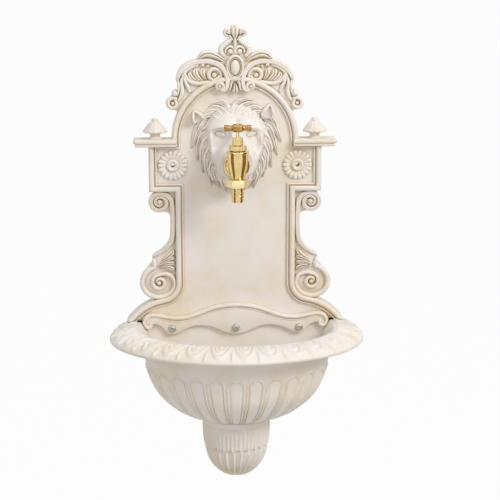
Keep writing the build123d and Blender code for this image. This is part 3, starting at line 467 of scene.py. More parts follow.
def relieved(grid, relief):
    """A grid moved along its own normals by a relief in millimetres, and kept out of the wall."""
    across, down = np.gradient(grid, axis=1), np.gradient(grid, axis=0)
    normal = np.cross(across, down)
    normal /= np.linalg.norm(normal, axis=-1, keepdims=True) + 1e-12
    return np.minimum(grid + normal * relief[..., None], (np.inf, 0, np.inf))


def add_piece(name, patches, material, body="fountain", replaces=(), crease=50.0):
    """Joins patches into one mesh with its seams merged and faces outwards, and sets it on a body of the frame."""
    corners, loops, sizes, start = [], [], [], 0
    for points, faces in patches:
        corners.append(points * MM)
        loops.append((faces + start).ravel())
        sizes.append(np.full(len(faces), faces.shape[1]))
        start += len(points)
    corners, loops, sizes = np.concatenate(corners), np.concatenate(loops), np.concatenate(sizes)
    mesh = bpy.data.meshes.new(name)
    mesh.vertices.add(len(corners))
    mesh.vertices.foreach_set("co", corners.astype(np.float32).ravel())
    mesh.loops.add(len(loops))
    mesh.loops.foreach_set("vertex_index", loops.astype(np.int32))
    mesh.polygons.add(len(sizes))
    mesh.polygons.foreach_set("loop_start", np.concatenate([[0], np.cumsum(sizes)[:-1]]).astype(np.int32))
    mesh.update(calc_edges=True)
    work = bmesh.new()
    work.from_mesh(mesh)
    bmesh.ops.remove_doubles(work, verts=work.verts, dist=0.01 * MM)
    bmesh.ops.recalc_face_normals(work, faces=work.faces)
    work.to_mesh(mesh)
    work.free()
    mesh.polygons.foreach_set("use_smooth", np.ones(len(mesh.polygons), bool))
    mesh.set_sharp_from_angle(angle=math.radians(crease))
    mesh.materials.append(material)
    piece = bpy.data.objects.new(name, mesh)
    bpy.context.scene.collection.objects.link(piece)
    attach(piece, body)
    if replaces:
        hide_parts(*replaces)


def panel_outline(inset):
    """The panel's edge drawn in by an inset, from the top of the arch round to the right and back to the top."""
    arch, shoulder, block, waist = ARCH_R - inset, BLOCK_TOP - inset, BLOCK_HALF - inset, WAIST_HALF - inset
    cove_turn = math.radians(260)
    flare = COVE + np.array([math.cos(cove_turn), math.sin(cove_turn)]) * (COVE_R + FLARE_R)
    tip_turn = math.asin((PANEL_FOOT - flare[1]) / (FLARE_R - inset))
    parts = [arc((0, ARCH_Z), arch, math.pi / 2, math.asin((shoulder - ARCH_Z) / arch), 44)]
    step = np.linspace(0, 1, 9)[1:, None]
    for corner in ((block, shoulder), (block, BLOCK_LOW + inset), (waist, BLOCK_LOW + inset), (waist, COVE[1])):
        parts.append(parts[-1][-1] * (1 - step) + np.array(corner) * step)
    parts.append(arc(COVE, COVE_R + inset, math.pi, cove_turn, 18)[1:])
    parts.append(arc(flare, FLARE_R - inset, math.radians(80), tip_turn, 18)[1:])
    tip = parts[-1][-1]
    parts.append(np.stack([np.linspace(tip[0], 0, 30)[1:], np.full(29, tip[1])], -1))
    return whole(np.concatenate(parts))


class FountainSizes(bpy.types.PropertyGroup):
    """Sizes and counts of the ornament."""

    border_rise: FloatProperty(
        name="Border rise", description="Height of the panel's border above its field",
        default=8 * MM, min=0, unit="LENGTH",
    )
    petal_count: IntProperty(name="Petals", description="Petals round each rosette", default=18, min=3)
    gadroon_pitch: FloatProperty(
        name="Gadroon pitch", description="Distance between tongues round the bowl", default=28.5 * MM, min=0.001,
        unit="LENGTH",
    )
    egg_pitch: FloatProperty(
        name="Egg pitch", description="Distance between eggs round the rim", default=37.5 * MM, min=0.001,
        unit="LENGTH",
    )
    gadroon_relief: FloatProperty(
        name="Gadroon relief", description="Height of the tongues on the bowl", default=2.6 * MM, min=0, unit="LENGTH",
    )
    rim_relief: FloatProperty(
        name="Rim relief", description="Height of the eggs on the rim", default=2.8 * MM, min=0, unit="LENGTH",
    )
    flute_relief: FloatProperty(
        name="Flute relief", description="Height of the reeds on the corbel", default=3.0 * MM, min=0, unit="LENGTH",
    )
    floor_drop: FloatProperty(
        name="Floor", description="Height of the floor below the wall holes", default=1.15, min=0.6, unit="LENGTH",
    )


class FountainColours(bpy.types.PropertyGroup):
    """Colours of the finishes."""

    ivory: FloatVectorProperty(
        name="Ivory", description="Paint on the raised parts", subtype="COLOR", size=4, default=linear("#f1eae4"),
    )
    white_ivory: FloatVectorProperty(
        name="White ivory", description="Paint that was rubbed clean", subtype="COLOR", size=4,
        default=linear("#f3eee9"),
    )
    cream: FloatVectorProperty(
        name="Cream", description="White paint under a thin wash", subtype="COLOR", size=4, default=linear("#ede0c6"),
    )
    warm_ivory: FloatVectorProperty(
        name="Warm ivory", description="Paint under a thin wash", subtype="COLOR", size=4, default=linear("#e9dbbb"),
    )
    wash: FloatVectorProperty(
        name="Wash", description="Ochre wash in the hollows", subtype="COLOR", size=4, default=linear("#dccba2"),
    )
    crease: FloatVectorProperty(
        name="Crease", description="Dark line of the wash beside a moulding", subtype="COLOR", size=4,
        default=linear("#bfa36c"),
    )
    brass: FloatVectorProperty(
        name="Brass", description="Polished brass", subtype="COLOR", size=4, default=linear("#f3e0ab"),
    )
    deep_brass: FloatVectorProperty(
        name="Deep brass", description="Brass where it has darkened", subtype="COLOR", size=4,
        default=linear("#d8b877"),
    )
    pale_brass: FloatVectorProperty(
        name="Pale brass", description="Brushed brass", subtype="COLOR", size=4, default=linear("#f2e2c0"),
    )
    # Painted reflection: a dark brown on the tee handle that stands for the dim room it mirrors
    painted_reflection_brown: FloatVectorProperty(
        name="Brown brass", description="Brass browned by hands", subtype="COLOR", size=4, default=linear("#7d5a28"),
    )
    steel: FloatVectorProperty(
        name="Steel", description="Zinc plating", subtype="COLOR", size=4, default=linear("#dcdcd8"),
    )
    dark_steel: FloatVectorProperty(
        name="Dark steel", description="Dull spangle of the plating", subtype="COLOR", size=4,
        default=linear("#a9aaa8"),
    )
    rubber: FloatVectorProperty(
        name="Rubber", description="Seals", subtype="COLOR", size=4, default=linear("#232323"),
    )
    floor: FloatVectorProperty(
        name="Floor", description="Studio floor", subtype="COLOR", size=4, default=linear("#dad8d4"),
    )


def finish_of(context, name):
    """A finish by its name, made when it is first asked for."""
    makers = {
        "antiqued_ivory_paint": antiqued_paint, "thinned_ivory_paint": thinned_paint,
        "rubbed_ivory_paint": rubbed_paint, "polished_brass": polished_brass, "satin_brass": satin_brass,
        "dark_reflection_brass": dark_reflection_brass, "zinc_plated_steel": zinc_plate, "moulded_rubber": moulded_rubber,
    }
    return bpy.data.materials.get(name) or makers[name](context.scene.fountain_colours)


class FOUNTAIN_OT_panel(bpy.types.Operator):
    """Hollow-backed panel with its border, and the shelves and rosettes on it"""

    bl_idname = "fountain.panel"
    bl_label = "Panel"

    def execute(self, context):
        sizes = context.scene.fountain_sizes
        paint = finish_of(context, "antiqued_ivory_paint")
        rise = sizes.border_rise / MM
        # Section of the border and the skirt: thin bead, groove, broad bead, outer wall and hollow back
        thin, broad = np.linspace(0, math.pi, 9), np.linspace(0, math.pi, 15)
        thin_at, thin_half, thin_rise, broad_half, groove_rise = 11.4, 1.6, 4.5, 4.4, 2.4
        inset = np.concatenate([
            thin_at + thin_half * np.cos(thin), broad_half + broad_half * np.cos(broad),
            [0, 0.8, SKIRT_WALL, SKIRT_WALL],
        ])
        depth = np.concatenate([
            FIELD_DEPTH + thin_rise * np.sin(thin) ** 0.8, FIELD_DEPTH + rise * np.sin(broad) ** 0.6,
            [0.8, 0, 0, PLATE_BACK],
        ])
        depth = np.where((inset > 6) & (inset < 11), np.maximum(depth, FIELD_DEPTH + groove_rise), depth)
        loops = [panel_outline(each) for each in inset]
        # The hollow behind has a floor at the foot of the panel
        hollow = np.maximum(panel_outline(SKIRT_WALL), (-np.inf, HOLLOW_FLOOR))
        loops[-2:] = [hollow, hollow]
        border = tube(np.stack([at_depth(loop, out) for loop, out in zip(loops, depth)]))
        holes = [arc((side * HOLE_X, 0), 10.0, 0, 2 * math.pi, 41)[:-1] for side in (-1, 1)]
        field = flat([panel_outline(BORDER_WIDTH), *holes], FIELD_DEPTH)
        back = flat([hollow, *holes], PLATE_BACK)
        add_piece("panel_plate", [border, field, back], paint, replaces=("back_panel",))
        self.add_rosettes(sizes, finish_of(context, "thinned_ivory_paint"))
        self.add_shelves(paint)
        return {"FINISHED"}

    def add_rosettes(self, sizes, paint):
        """Rosettes as rings round each wall hole: petals that swell outwards, a raised ring, the hole and a boss."""
        turn = np.linspace(0, 2 * math.pi, 12 * sizes.petal_count + 1)
        lobes = np.abs(np.cos(turn * sizes.petal_count / 2)) ** 0.5
        profile = np.array([
            (11, 0), (11, 17.5), (23, 17.5), (23.2, 23), (23.4, 24.2), (22.6, 25.6), (20, 26.4), (16, 25.6), (12, 24.0),
            (10.2, 23.4), (9.6, 25.6), (8.8, 27.4), (7.4, 28.2), (6, 27.6), (5, 26), (4.2, 25.4), (3.25, 24.8),
            (3.25, 0), (11, 0),
        ])
        petal = np.interp(profile[:, 0], [9.9, 12, 20, 23.4, 30], [0, 0.4, 1, 1, 1]) * (profile[:, 1] > 18)
        notch, dip = 1.6, 1.9
        reach = profile[:, :1] - petal[:, None] * (1 - lobes) * notch
        depth = profile[:, 1:] - petal[:, None] * (1 - lobes) * dip
        patches = [
            sheet(spots(side * HOLE_X + reach * np.cos(turn), depth, reach * np.sin(turn))) for side in (-1, 1)
        ]
        add_piece("panel_rosettes", patches, paint, crease=60)

    def add_shelves(self, paint):
        """Shelves: a slab over a smaller bead, as insets from the slab's edge, along its outer end and front.

        Their backs stay a small gap in front of the wall.
        """
        section = np.array([
            (3, 42), (1.2, 41.6), (0.2, 40.4), (0, 38.5), (0.2, 36.6), (1.2, 35.4), (3.2, 34.8), (3.4, 34.2), (2.6, 33),
            (2.5, 31.6), (3.4, 30.3), (5, 30),
        ])
        round_r, gap = 5.0, 0.4
        rows = []
        for inset, z in section:
            r = round_r - min(inset, 4)
            corner = arc((SHELF_END - inset - r, SHELF_FRONT - inset - r), r, 0, math.pi / 2, 10)
            path = np.concatenate([[(SHELF_END - inset, gap)], corner, [(SHELF_INNER, SHELF_FRONT - inset)]])
            rows.append(spots(path[:, 0], path[:, 1], z))
        rows = np.stack(rows)
        caps = [sheet(np.stack([row, spots(row[:, 0], gap, row[:, 2])])) for row in (rows[0], rows[-1])]
        end = sheet(np.stack([rows[:, -1], spots(SHELF_INNER, gap, rows[:, -1, 2])]))
        back = np.concatenate([rows[:, 0][:, ::2], [(SHELF_INNER, section[-1, 1]), (SHELF_INNER, section[0, 1])]])
        add_piece("panel_shelves", both([sheet(rows), *caps, end, flat([back], gap)]), paint, crease=60)


class FOUNTAIN_OT_scrolls(bpy.types.Operator):
    """Side scrolls: a reeded stem with an upper volute, a leaf and a broad lower volute, on a web"""

    bl_idname = "fountain.scrolls"
    bl_label = "Side scrolls"

    def execute(self, context):
        paint = finish_of(context, "antiqued_ivory_paint")
        base, eye = 19.0, (120.1, -58.7)
        upper = spiral(eye, [
            (180, 19.4), (135, 15.6), (90, 13.9), (0, 13.6), (-90, 13.2), (-180, 11.4), (-270, 8.2), (-360, 6.8),
            (-450, 5.4), (-540, 4.0),
        ])
        stem = curve([
            (131.8, -147.6), (120.2, -140.4), (109.4, -131.4), (102.4, -122), (99.6, -110), (98.8, -92), (99.2, -74),
            (100, -64),
        ])
        stem = even(np.concatenate([stem[:-1], upper]), 170)
        lower = spiral((122.2, -189.0), [
            (74, 25.4), (30, 26.4), (0, 26.9), (-30, 26.4), (-65, 24.6), (-107, 23.8), (-145, 25.2), (-177, 25.2),
            (-205, 22.8), (-233, 17.6), (-262, 13.0), (-333, 11.0), (-400, 10.0), (-470, 9.6), (-540, 8.4), (-610, 6.8),
            (-680, 5.2), (-760, 3.8),
        ])
        lower = even(np.concatenate([curve([(131.4, -148.5), (130, -154), (129.2, -161)])[:-2], lower]), 210)
        web = curve([
            (92, -41), (118, -42), (133, -49), (135, -60), (128, -71), (116, -74), (104, -80), (102, -104), (106, -122),
            (118, -136), (132, -146), (133, -156), (141, -166), (149, -178), (149.6, -190), (145, -204), (134, -214),
            (118, -215), (100, -208), (92, -196),
        ], 8, closed=True)
        patches = [
            *plate(web, base, WEB_BACK),
            rib(stem, [2.0, 4.2, 4.6, 4.4, 4.0, 3.6, 3.2, 2.8], [4, 7, 7, 7, 7, 7, 6.5, 6.5], base, 0, 0.2),
            ball(*eye, base, 4.4, 7.5),
            rib(lower, [4.0, 4.2, 4.2, 4.0, 3.8, 3.6, 3.4, 3.0], [6, 7, 7.5, 7.5, 7, 7, 7.5, 8], base),
            ball(122.3, -189.2, base, 4.2, 9),
        ]
        # Acanthus leaf between the volute and the panel
        patches += [lobe(line, half, 7.5, base) for line, half in (
            ([(118, -154), (108, -147), (101, -140.6), (100.6, -134)], 4.2),
            ([(120, -158), (110, -152), (101, -149), (96, -148)], 4.0),
            ([(122, -161), (110, -157.6), (101, -158), (96, -159)], 4.0),
            ([(122, -165), (110, -163), (102, -166), (97, -172)], 4.0),
        )]
        add_piece("panel_scrolls", both(patches), paint)
        return {"FINISHED"}


class FOUNTAIN_OT_crest(bpy.types.Operator):
    """Open crest over the arch: scrolls and leaves, an oval cartouche, a shell and a palmette"""

    bl_idname = "fountain.crest"
    bl_label = "Crest"

    def execute(self, context):
        paint = finish_of(context, "thinned_ivory_paint")
        base, front = 20.0, 29.0
        outline = [
            (0, 219), (5.5, 216.5), (6.8, 211.5), (10, 212.4), (14, 212.6), (17, 209.6), (17, 205), (13, 202.4),
            (8.6, 200.4), (10, 196.4), (15, 192.8), (21, 188), (24.6, 182), (24, 176.4), (22, 173), (28, 175.4),
            (34, 178.4), (42, 179.6), (51, 177), (57, 171), (60, 166), (66, 164.6), (75, 161.2), (84, 154.6),
            (89, 146.4), (91.4, 138), (91.6, 132), (88.6, 127.5), (87, 122), (88, 117.6), (93, 118.4), (98.6, 115.6),
            (99, 110), (102, 106.6), (105.6, 101), (105.6, 94.6), (101, 89.4), (94, 87), (84, 84), (60, 110),
            (30, 128), (0, 132),
        ]
        web = plate(whole(curve(outline, 6)), base, WEB_BACK)
        # Long scroll from a small volute in front of the arch, round beside the cartouche and over to the side
        small = spiral((24.4, 124.4), [(-560, 2.4), (-450, 3.6), (-360, 4.4), (-270, 5.2), (-180, 6.0), (-110, 6.8)])
        big = curve([
            (20.4, 117.6), (14.6, 120.6), (12, 129), (12.8, 139.6), (17.4, 149.6), (26, 157.4), (37.6, 161.8),
            (50, 162.6), (64, 160.2), (76, 154.6), (84.6, 146.6), (89, 138), (90, 131.6),
        ])
        line = even(np.concatenate([small, big[8:]]), 180)
        patches = [
            rib(line, [2.4, 2.9, 3.8, 4.4, 4.4, 4.4, 4.8, 3.0], [6, 6, 7, 7, 6.5, 6.5, 6.5, 5],
                [front, front, 28, 23, base, base, base, base], 0, 0.16, [10, 10, 9, 4, 3, 3, 3, 3]),
            ball(24.4, 124.4, front, 3.2, 8, 10.0),
            # Reeded leaf that rises over it, and the outer edge of the scroll beyond
            strand([(17, 164), (28, 170.6), (39, 174.6), (50, 172.6), (58, 165)], 60,
                   [3.0, 5.2, 5.8, 5.4, 2.2], [5, 7, 7.5, 7, 5], base, 2),
            strand([(56, 157), (66, 154.6), (75, 148.6), (80.6, 141), (82.4, 132)], 50,
                   [2.0, 2.8, 3.0, 2.8, 2.0], [3, 4.5, 4.5, 4.5, 3], base),
        ]
        # Three strands of the tail at the side, and the two balls and the curl at their end
        patches += [
            strand(tail, 44, [width * 0.7, width, width, width * 0.6], [4, 6, 6, 4.5], base) for tail, width in (
                ([(82.4, 138), (83.6, 128), (82.4, 118), (84.6, 108), (90, 100)], 3.6),
                ([(79.4, 142), (77.2, 131), (73, 122), (70, 114)], 3.2),
                ([(88.4, 134), (87.6, 126), (88, 118), (90.4, 109)], 2.4),
            )
        ]
        patches += [
            ball(94, 112.6, base, 5.0, 8), ball(97.4, 97.4, base, 3.2, 7),
            rib(spiral((97.4, 97.6), [(150, 8.6), (90, 8.2), (0, 7.4), (-90, 6.8), (-180, 6.0), (-250, 5.0)]),
                [3.0, 3.4, 3.2, 2.6], [5, 7, 7, 5], base),
        ]
        # Foliage inside the scroll: a stem along the arch with a hook at its end, a curl, three balls and fanned lobes
        patches += [
            strand([(22, 141), (32, 132.6), (46, 129.4), (60, 128.6), (70.4, 132), (77, 139), (78.6, 147), (74, 153.4),
                    (67.4, 154)], 90, [2.6, 3.6, 3.8, 3.6, 3.0, 2.0], [4, 5.5, 5.5, 5.5, 5, 4], base),
            rib(spiral((32.6, 141.4), [(250, 12.6), (180, 11.4), (90, 9.6), (0, 8.4), (-90, 7.2), (-150, 6.2)]),
                [2.4, 3.4, 3.6, 2.8], [4, 6, 6.5, 5], base),
            ball(33, 141, base, 4.2, 8), ball(50.6, 157.2, base, 3.4, 7), ball(42.4, 155.6, base, 2.6, 6),
        ]
        patches += [lobe(line, half, 5.5, base) for line, half in (
            ([(44, 134), (49, 140), (51, 147), (48, 153)], 4.4), ([(50, 132), (58, 138), (62, 145), (60, 152)], 4.8),
            ([(55, 131), (64, 134), (70, 140), (70, 147)], 4.6),
        )]
        # Crown over the cartouche: a lobe on each side, a curl with a ball, and the side leaves of the trefoil
        patches += [
            strand([(15, 169.6), (20.6, 175), (21.6, 182.4), (16, 188.6), (9, 193.6), (5, 199.6)], 60,
                   [3.0, 4.2, 4.4, 3.8, 2.6], [5, 6.5, 6.5, 6, 5], base),
            rib(spiral((7.4, 178), [(-30, 7.6), (60, 7.4), (130, 7.2), (200, 6.4), (250, 5.4)]),
                [1.8, 2.6, 2.6, 1.8], [4, 5, 5, 4], base),
            ball(7.2, 177.6, base, 4.8, 7.5),
            rib(spiral((12, 207.2), [(-120, 5.4), (-30, 4.4), (60, 4.0), (150, 3.6), (240, 3.0)]),
                [2.0, 2.8, 3.0, 2.4], [4, 5.5, 6, 5], base),
            ball(12, 207.2, base, 2.6, 7.5),
            strand([(9.6, 202.4), (6, 199), (3.6, 194.6)], 20, 1.8, 6, base),
            # Bell that hangs round the pendant, in front of the arch
            strand([(3.6, 132.6), (6.4, 129), (7.4, 122.6), (9.6, 118.4)], 26, [2.0, 2.2, 2.0], [7, 7, 6], front - 2,
                   0, 0.0, 8.0),
        ]
        # On the middle line: the top leaf of the trefoil, the stem under it and the pendant
        patches = [
            *both(patches), lobe([(0, 197), (0, 204), (0, 211), (0, 217)], 7.2, 8, base),
            strand([(0, 200), (0, 192), (0, 186), (0, 181)], 24, [1.6, 3.0, 2.6, 1.6], 7, base),
            lobe([(0, 128), (0, 123), (0, 117.4), (0, 113.6)], 4.8, 8.5, front - 1.5, 8.5),
        ]
        # Oval cartouche: a frame of two beads round a domed stone
        turn = np.linspace(0, 2 * math.pi, 73)
        for wide, tall, half, rise in ((12.2, 17.4, 2.6, 9.0), (9.2, 14.2, 1.3, 7.5)):
            ring = np.stack([wide * np.cos(turn), CARTOUCHE_Z + tall * np.sin(turn)], -1)
            patches.append(rib(ring, half, rise, base + 1.5, ease=(0, 0)))
        reach = np.linspace(1, 0, 12)[:, None]
        stone = base + 3 + 9 * np.sqrt(np.clip(1 - reach**2.4, 0, 1))
        patches.append(sheet(spots(8.4 * reach * np.cos(turn), stone, CARTOUCHE_Z + 13.4 * reach * np.sin(turn))))
        add_piece("panel_crest", web + patches, paint)
        return {"FINISHED"}


class FOUNTAIN_OT_apron(bpy.types.Operator):
    """Wavy apron at the foot of the panel, with a bead along its top edge"""

    bl_idname = "fountain.apron"
    bl_label = "Apron"

    def execute(self, context):
        paint = finish_of(context, "antiqued_ivory_paint")
        top = [(0, -223), (21, -224.7), (40, -229), (61, -237), (80, -242.8), (97, -244), (112, -242), (126, -239),
               (136, -238.6), (143, -241), (148, -246.5)]
        low = [(148.6, -253), (145, -259), (137, -259), (129, -256), (118, -261), (110, -270), (102, -273.5),
               (93, -271), (78, -263.5), (64, -259.6), (52, -259), (38, -261.5), (24, -267.5), (12, -272), (0, -273.5)]
        loop = curve(whole(np.array(top + low, float)), 6, closed=True)
        front = 30.0
        patches = plate(loop, front, FIELD_DEPTH - 4, 1.2)
        edge = np.array(top + [(149.2, -251.5), (146.4, -257.6), (140, -257.4), (137.6, -252.4), (141, -249)], float)
        edge = np.concatenate([(edge[1:] * (-1, 1))[::-1], edge]) - (0, 2.6)
        line = even(curve(edge), 260)
        patches.append(rib(line * (0.985, 1), 2.9, 3.4, front - 0.6, ease=(0.02, 0.02)))
        low_bead = [(-124, -247), (-97, -251.4), (-80, -250), (-61, -244.4), (-40, -236.4), (-21, -232), (0, -230.4)]
        patches += both([strand(low_bead, 120, 1.3, 1.6, front - 0.4)])
        add_piece("panel_apron", patches, paint)
        return {"FINISHED"}


class FOUNTAIN_OT_finials(bpy.types.Operator):
    """Turned finials on the shelves: a foot, a brimmed cap of overlapping leaves and a knob"""

    bl_idname = "fountain.finials"
    bl_label = "Finials"

    def execute(self, context):
        paint = finish_of(context, "antiqued_ivory_paint")
        profile = [
            (0, 41), (9.8, 41), (9.9, 43.6), (8.4, 45.2), (7.6, 47.4), (8.4, 49.6), (12, 51.2), (17.6, 52.2),
            (18.9, 53.6), (18.6, 55.0), (16.0, 58.2), (13.2, 62.0), (10.0, 66.0), (7.0, 68.4), (5.6, 69.2),
            (5.6, 70.6), (5.0, 73.2), (3.0, 74.6), (0, 75),
        ]
        for name, side in (("finial_left", -1), ("finial_right", 1)):
            patch = lathe(profile, side * FINIAL_X, FINIAL_DEPTH, 96, 4, 0.025, 12)
            add_piece(f"{name}_cap", [patch], paint, replaces=(name,), crease=45)
        return {"FINISHED"}


def bowl_ring(half, front, centre, back_half, back, count, sides=16):
    """Levels of a half-round vessel as points from its left back round the front to its right back.

    The front is half an ellipse about a centre, and each side a parabola from the ellipse's end to the back.
    """
    side = np.linspace(0, 1, sides)[:-1]
    turn = np.linspace(0, math.pi, count)
    left_x = -(half + (back_half - half) * (1 - side) ** 2)
    left_depth = back + (centre - back) * side
    x = np.concatenate([left_x, -half * np.cos(turn), -left_x[:, ::-1]], 1)
    depth = np.concatenate([left_depth, centre + front * np.sin(turn), left_depth[:, ::-1]], 1)
    return x, depth


class FOUNTAIN_OT_basin(bpy.types.Operator):
    """Half-round basin: gadrooned bowl, rim of eggs and darts, smooth inside, back wall and open hollow behind it"""

    bl_idname = "fountain.basin"
    bl_label = "Basin"

    def execute(self, context):
        sizes = context.scene.fountain_sizes
        paint = finish_of(context, "thinned_ivory_paint")
        outside = self.outside(sizes)
        # Height, half width, reach of the front, its centre's depth, and half width at the back wall
        inner = np.array([
            (RIM_TOP, 158, 115, 69, 156), (-252.6, 153, 110, 69, 152), (-256, 150.4, 107.4, 69, 149.6),
            (-264, 147, 106, 69, 145), (-274, 144, 104, 69, 141), (-300, 141, 102, 69, 138), (-322, 135, 99, 69, 132),
            (-340, 128, 95, 69, 125), (-356, 115, 87, 66, 112), (-370, 98, 77, 60, 95), (-381, 80, 66, 53, 77),
            (-389, 61, 56, 46, 58), (-393.5, 48, 48, 43, 45), (-395, 30, 36, 40, 28),
        ])
        inner = even(curve(inner, 4), 60)
        x, depth = bowl_ring(*inner[:, 1:, None].transpose(1, 0, 2), FIELD_DEPTH, 120)
        grid = spots(x, depth, inner[:, :1])
        floor = level(grid[-1], inner[-1, 0])
        ledge_x, ledge_depth = 156.0 * np.array([-1, 1, 1, -1]), FIELD_DEPTH * np.array([0, 0, 1, 1])
        ledge = level(spots(ledge_x, ledge_depth, RIM_TOP), RIM_TOP)
        add_piece("basin_bowl", [*outside, tube(grid), floor, ledge], paint, replaces=("basin",), crease=60)
        return {"FINISHED"}

    def outside(self, sizes):
        """The outer face from the foot up to the rim's inner edge, with tongues on the bowl and eggs on the rim."""
        levels = np.array([
            (BOWL_FOOT, 51, 51, 39.4, 48), (-401.2, 54, 53.6, 41, 51), (-398, 66, 62, 45.4, 63),
            (-392, 80, 71, 51.2, 77), (-384, 94.4, 79.4, 56.6, 91.4), (-374, 106.4, 86.4, 61.4, 103.4),
            (-362, 117.6, 92.8, 66, 114.6), (-347, 128.4, 98.8, 69, 125.4), (-328, 137.6, 103.4, 69, 134.6),
            (-306, 144.4, 107.2, 69, 141.4), (-286, 149.2, 110, 69, 146.2), (-277, 151, 111, 69, 148),
            (-273.6, 153.5, 114, 69, 150), (-272.4, 160, 121, 69, 154), (-272, 174, 134, 69, 163),
            (-271.8, 189, 147, 69, 175), (-271, 197, 154, 69, 180), (-268.6, 200.4, 157.4, 69, 181.8),
            (-265.4, 200.4, 157.4, 69, 181.8), (-261.4, 196, 153, 69, 178.4), (-257, 187, 144, 69, 173),
            (-253.8, 176, 133, 69, 167), (-252.2, 166, 123, 69, 161), (RIM_TOP, 158, 115, 69, 156),
        ])
        lines = even(curve(levels, 8), 176)
        x, depth = bowl_ring(*lines[:, 1:, None].transpose(1, 0, 2), 0.0, 400)
        grid = spots(x, depth, lines[:, :1])
        # Distance round the bowl from the middle of the front, at the middle of the tongues and of the rim
        spread = np.linalg.norm(np.diff(grid, axis=1), axis=2)
        run = np.concatenate([np.zeros((len(grid), 1)), np.cumsum(spread, 1)], 1)
        run -= run[:, -1:] / 2
        tongue_z, tongue_top, tongue_shift = -340.0, -306.0, 0.72
        rim_inner, rim_width, rim_half, rim_low = 158.0, 42.0, 180.0, -264.0
        egg_half, egg_shift = 15.0, 0.35
        tongue_row = np.argmin(abs(lines[:, 0] - tongue_z))
        rim_row = np.argmin(abs(lines[:, 1] - rim_half) + (lines[:, 0] < rim_low) * 99)
        pitch, egg_pitch = sizes.gadroon_pitch / MM, sizes.egg_pitch / MM
        place = (run[tongue_row] / pitch + tongue_shift) % 1 - 0.5
        local = pitch * np.pad(spread, ((0, 0), (0, 1)), "edge") / np.pad(spread[tongue_row], (0, 1), "edge")
        z = lines[:, :1]
        # Inside a tongue: the distance to its edge, straight at the sides and round at the top
        half_width = 0.49 * local
        arch = tongue_top - half_width
        side = half_width - np.abs(place) * local
        top = half_width - np.hypot(place * local, np.maximum(z - arch, 0))
        deep = np.where(z > arch, top, side) * np.clip(pitch / local, 1, 1.6)
        bead = ridge(deep - 2.4, 1.4)
        swell = np.clip((deep - 5.0) / 2.4, 0, 1) ** 0.7
        fade = np.clip((z + 401) / 7, 0, 1) * np.clip((-296 - z) / 6, 0, 1)
        relief = sizes.gadroon_relief / MM * (bead + 0.85 * swell) * fade
        # Eggs on the rim: nested ridges that are open towards its inner edge, and a dart between each two
        across = np.clip((lines[:, 1:2] - rim_inner) / rim_width, 0, 1)
        egg_place = (run[rim_row] / egg_pitch + egg_shift) % 1 - 0.5
        reach = np.hypot(egg_place * egg_pitch / egg_half, (across - 0.02) / 0.88)
        egg = ridge(reach - 0.92, 0.1) + 0.9 * ridge(reach - 0.58, 0.09)
        egg = egg + 0.9 * np.clip(1 - (reach / 0.36) ** 2, 0, 1) ** 0.5
        egg = egg + ridge((np.abs(egg_place) - 0.5) * egg_pitch, 1.8) * np.clip((across - 0.5) / 0.1, 0, 1)
        egg = egg * (0.55 + 0.6 * across)
        edge_fade = np.clip(across / 0.06, 0, 1) * np.clip((1 - across) / 0.06, 0, 1) * (z > -266)
        relief = relief + sizes.rim_relief / MM * egg * edge_fade
        grid = relieved(grid, relief)
        # Back: a rim round the hollow, its walls and the back of the wall behind the apron
        outer = np.concatenate([grid[:, 0][:, ::2], grid[::-1, -1][:, ::2]])
        inset = np.array([
            (143, -253), (136, -274), (131, -300), (124, -330), (112, -352), (94, -370), (70, -384), (46, -391),
        ])
        hollow = np.concatenate([inset * (-1, 1), inset[::-1]])
        walls = tube(np.stack([at_depth(hollow, out) for out in (0, NUT_SPACE)]))
        return [sheet(grid), level(grid[0], BOWL_FOOT), flat([outer, hollow], 0), walls, flat([hollow], NUT_SPACE)]


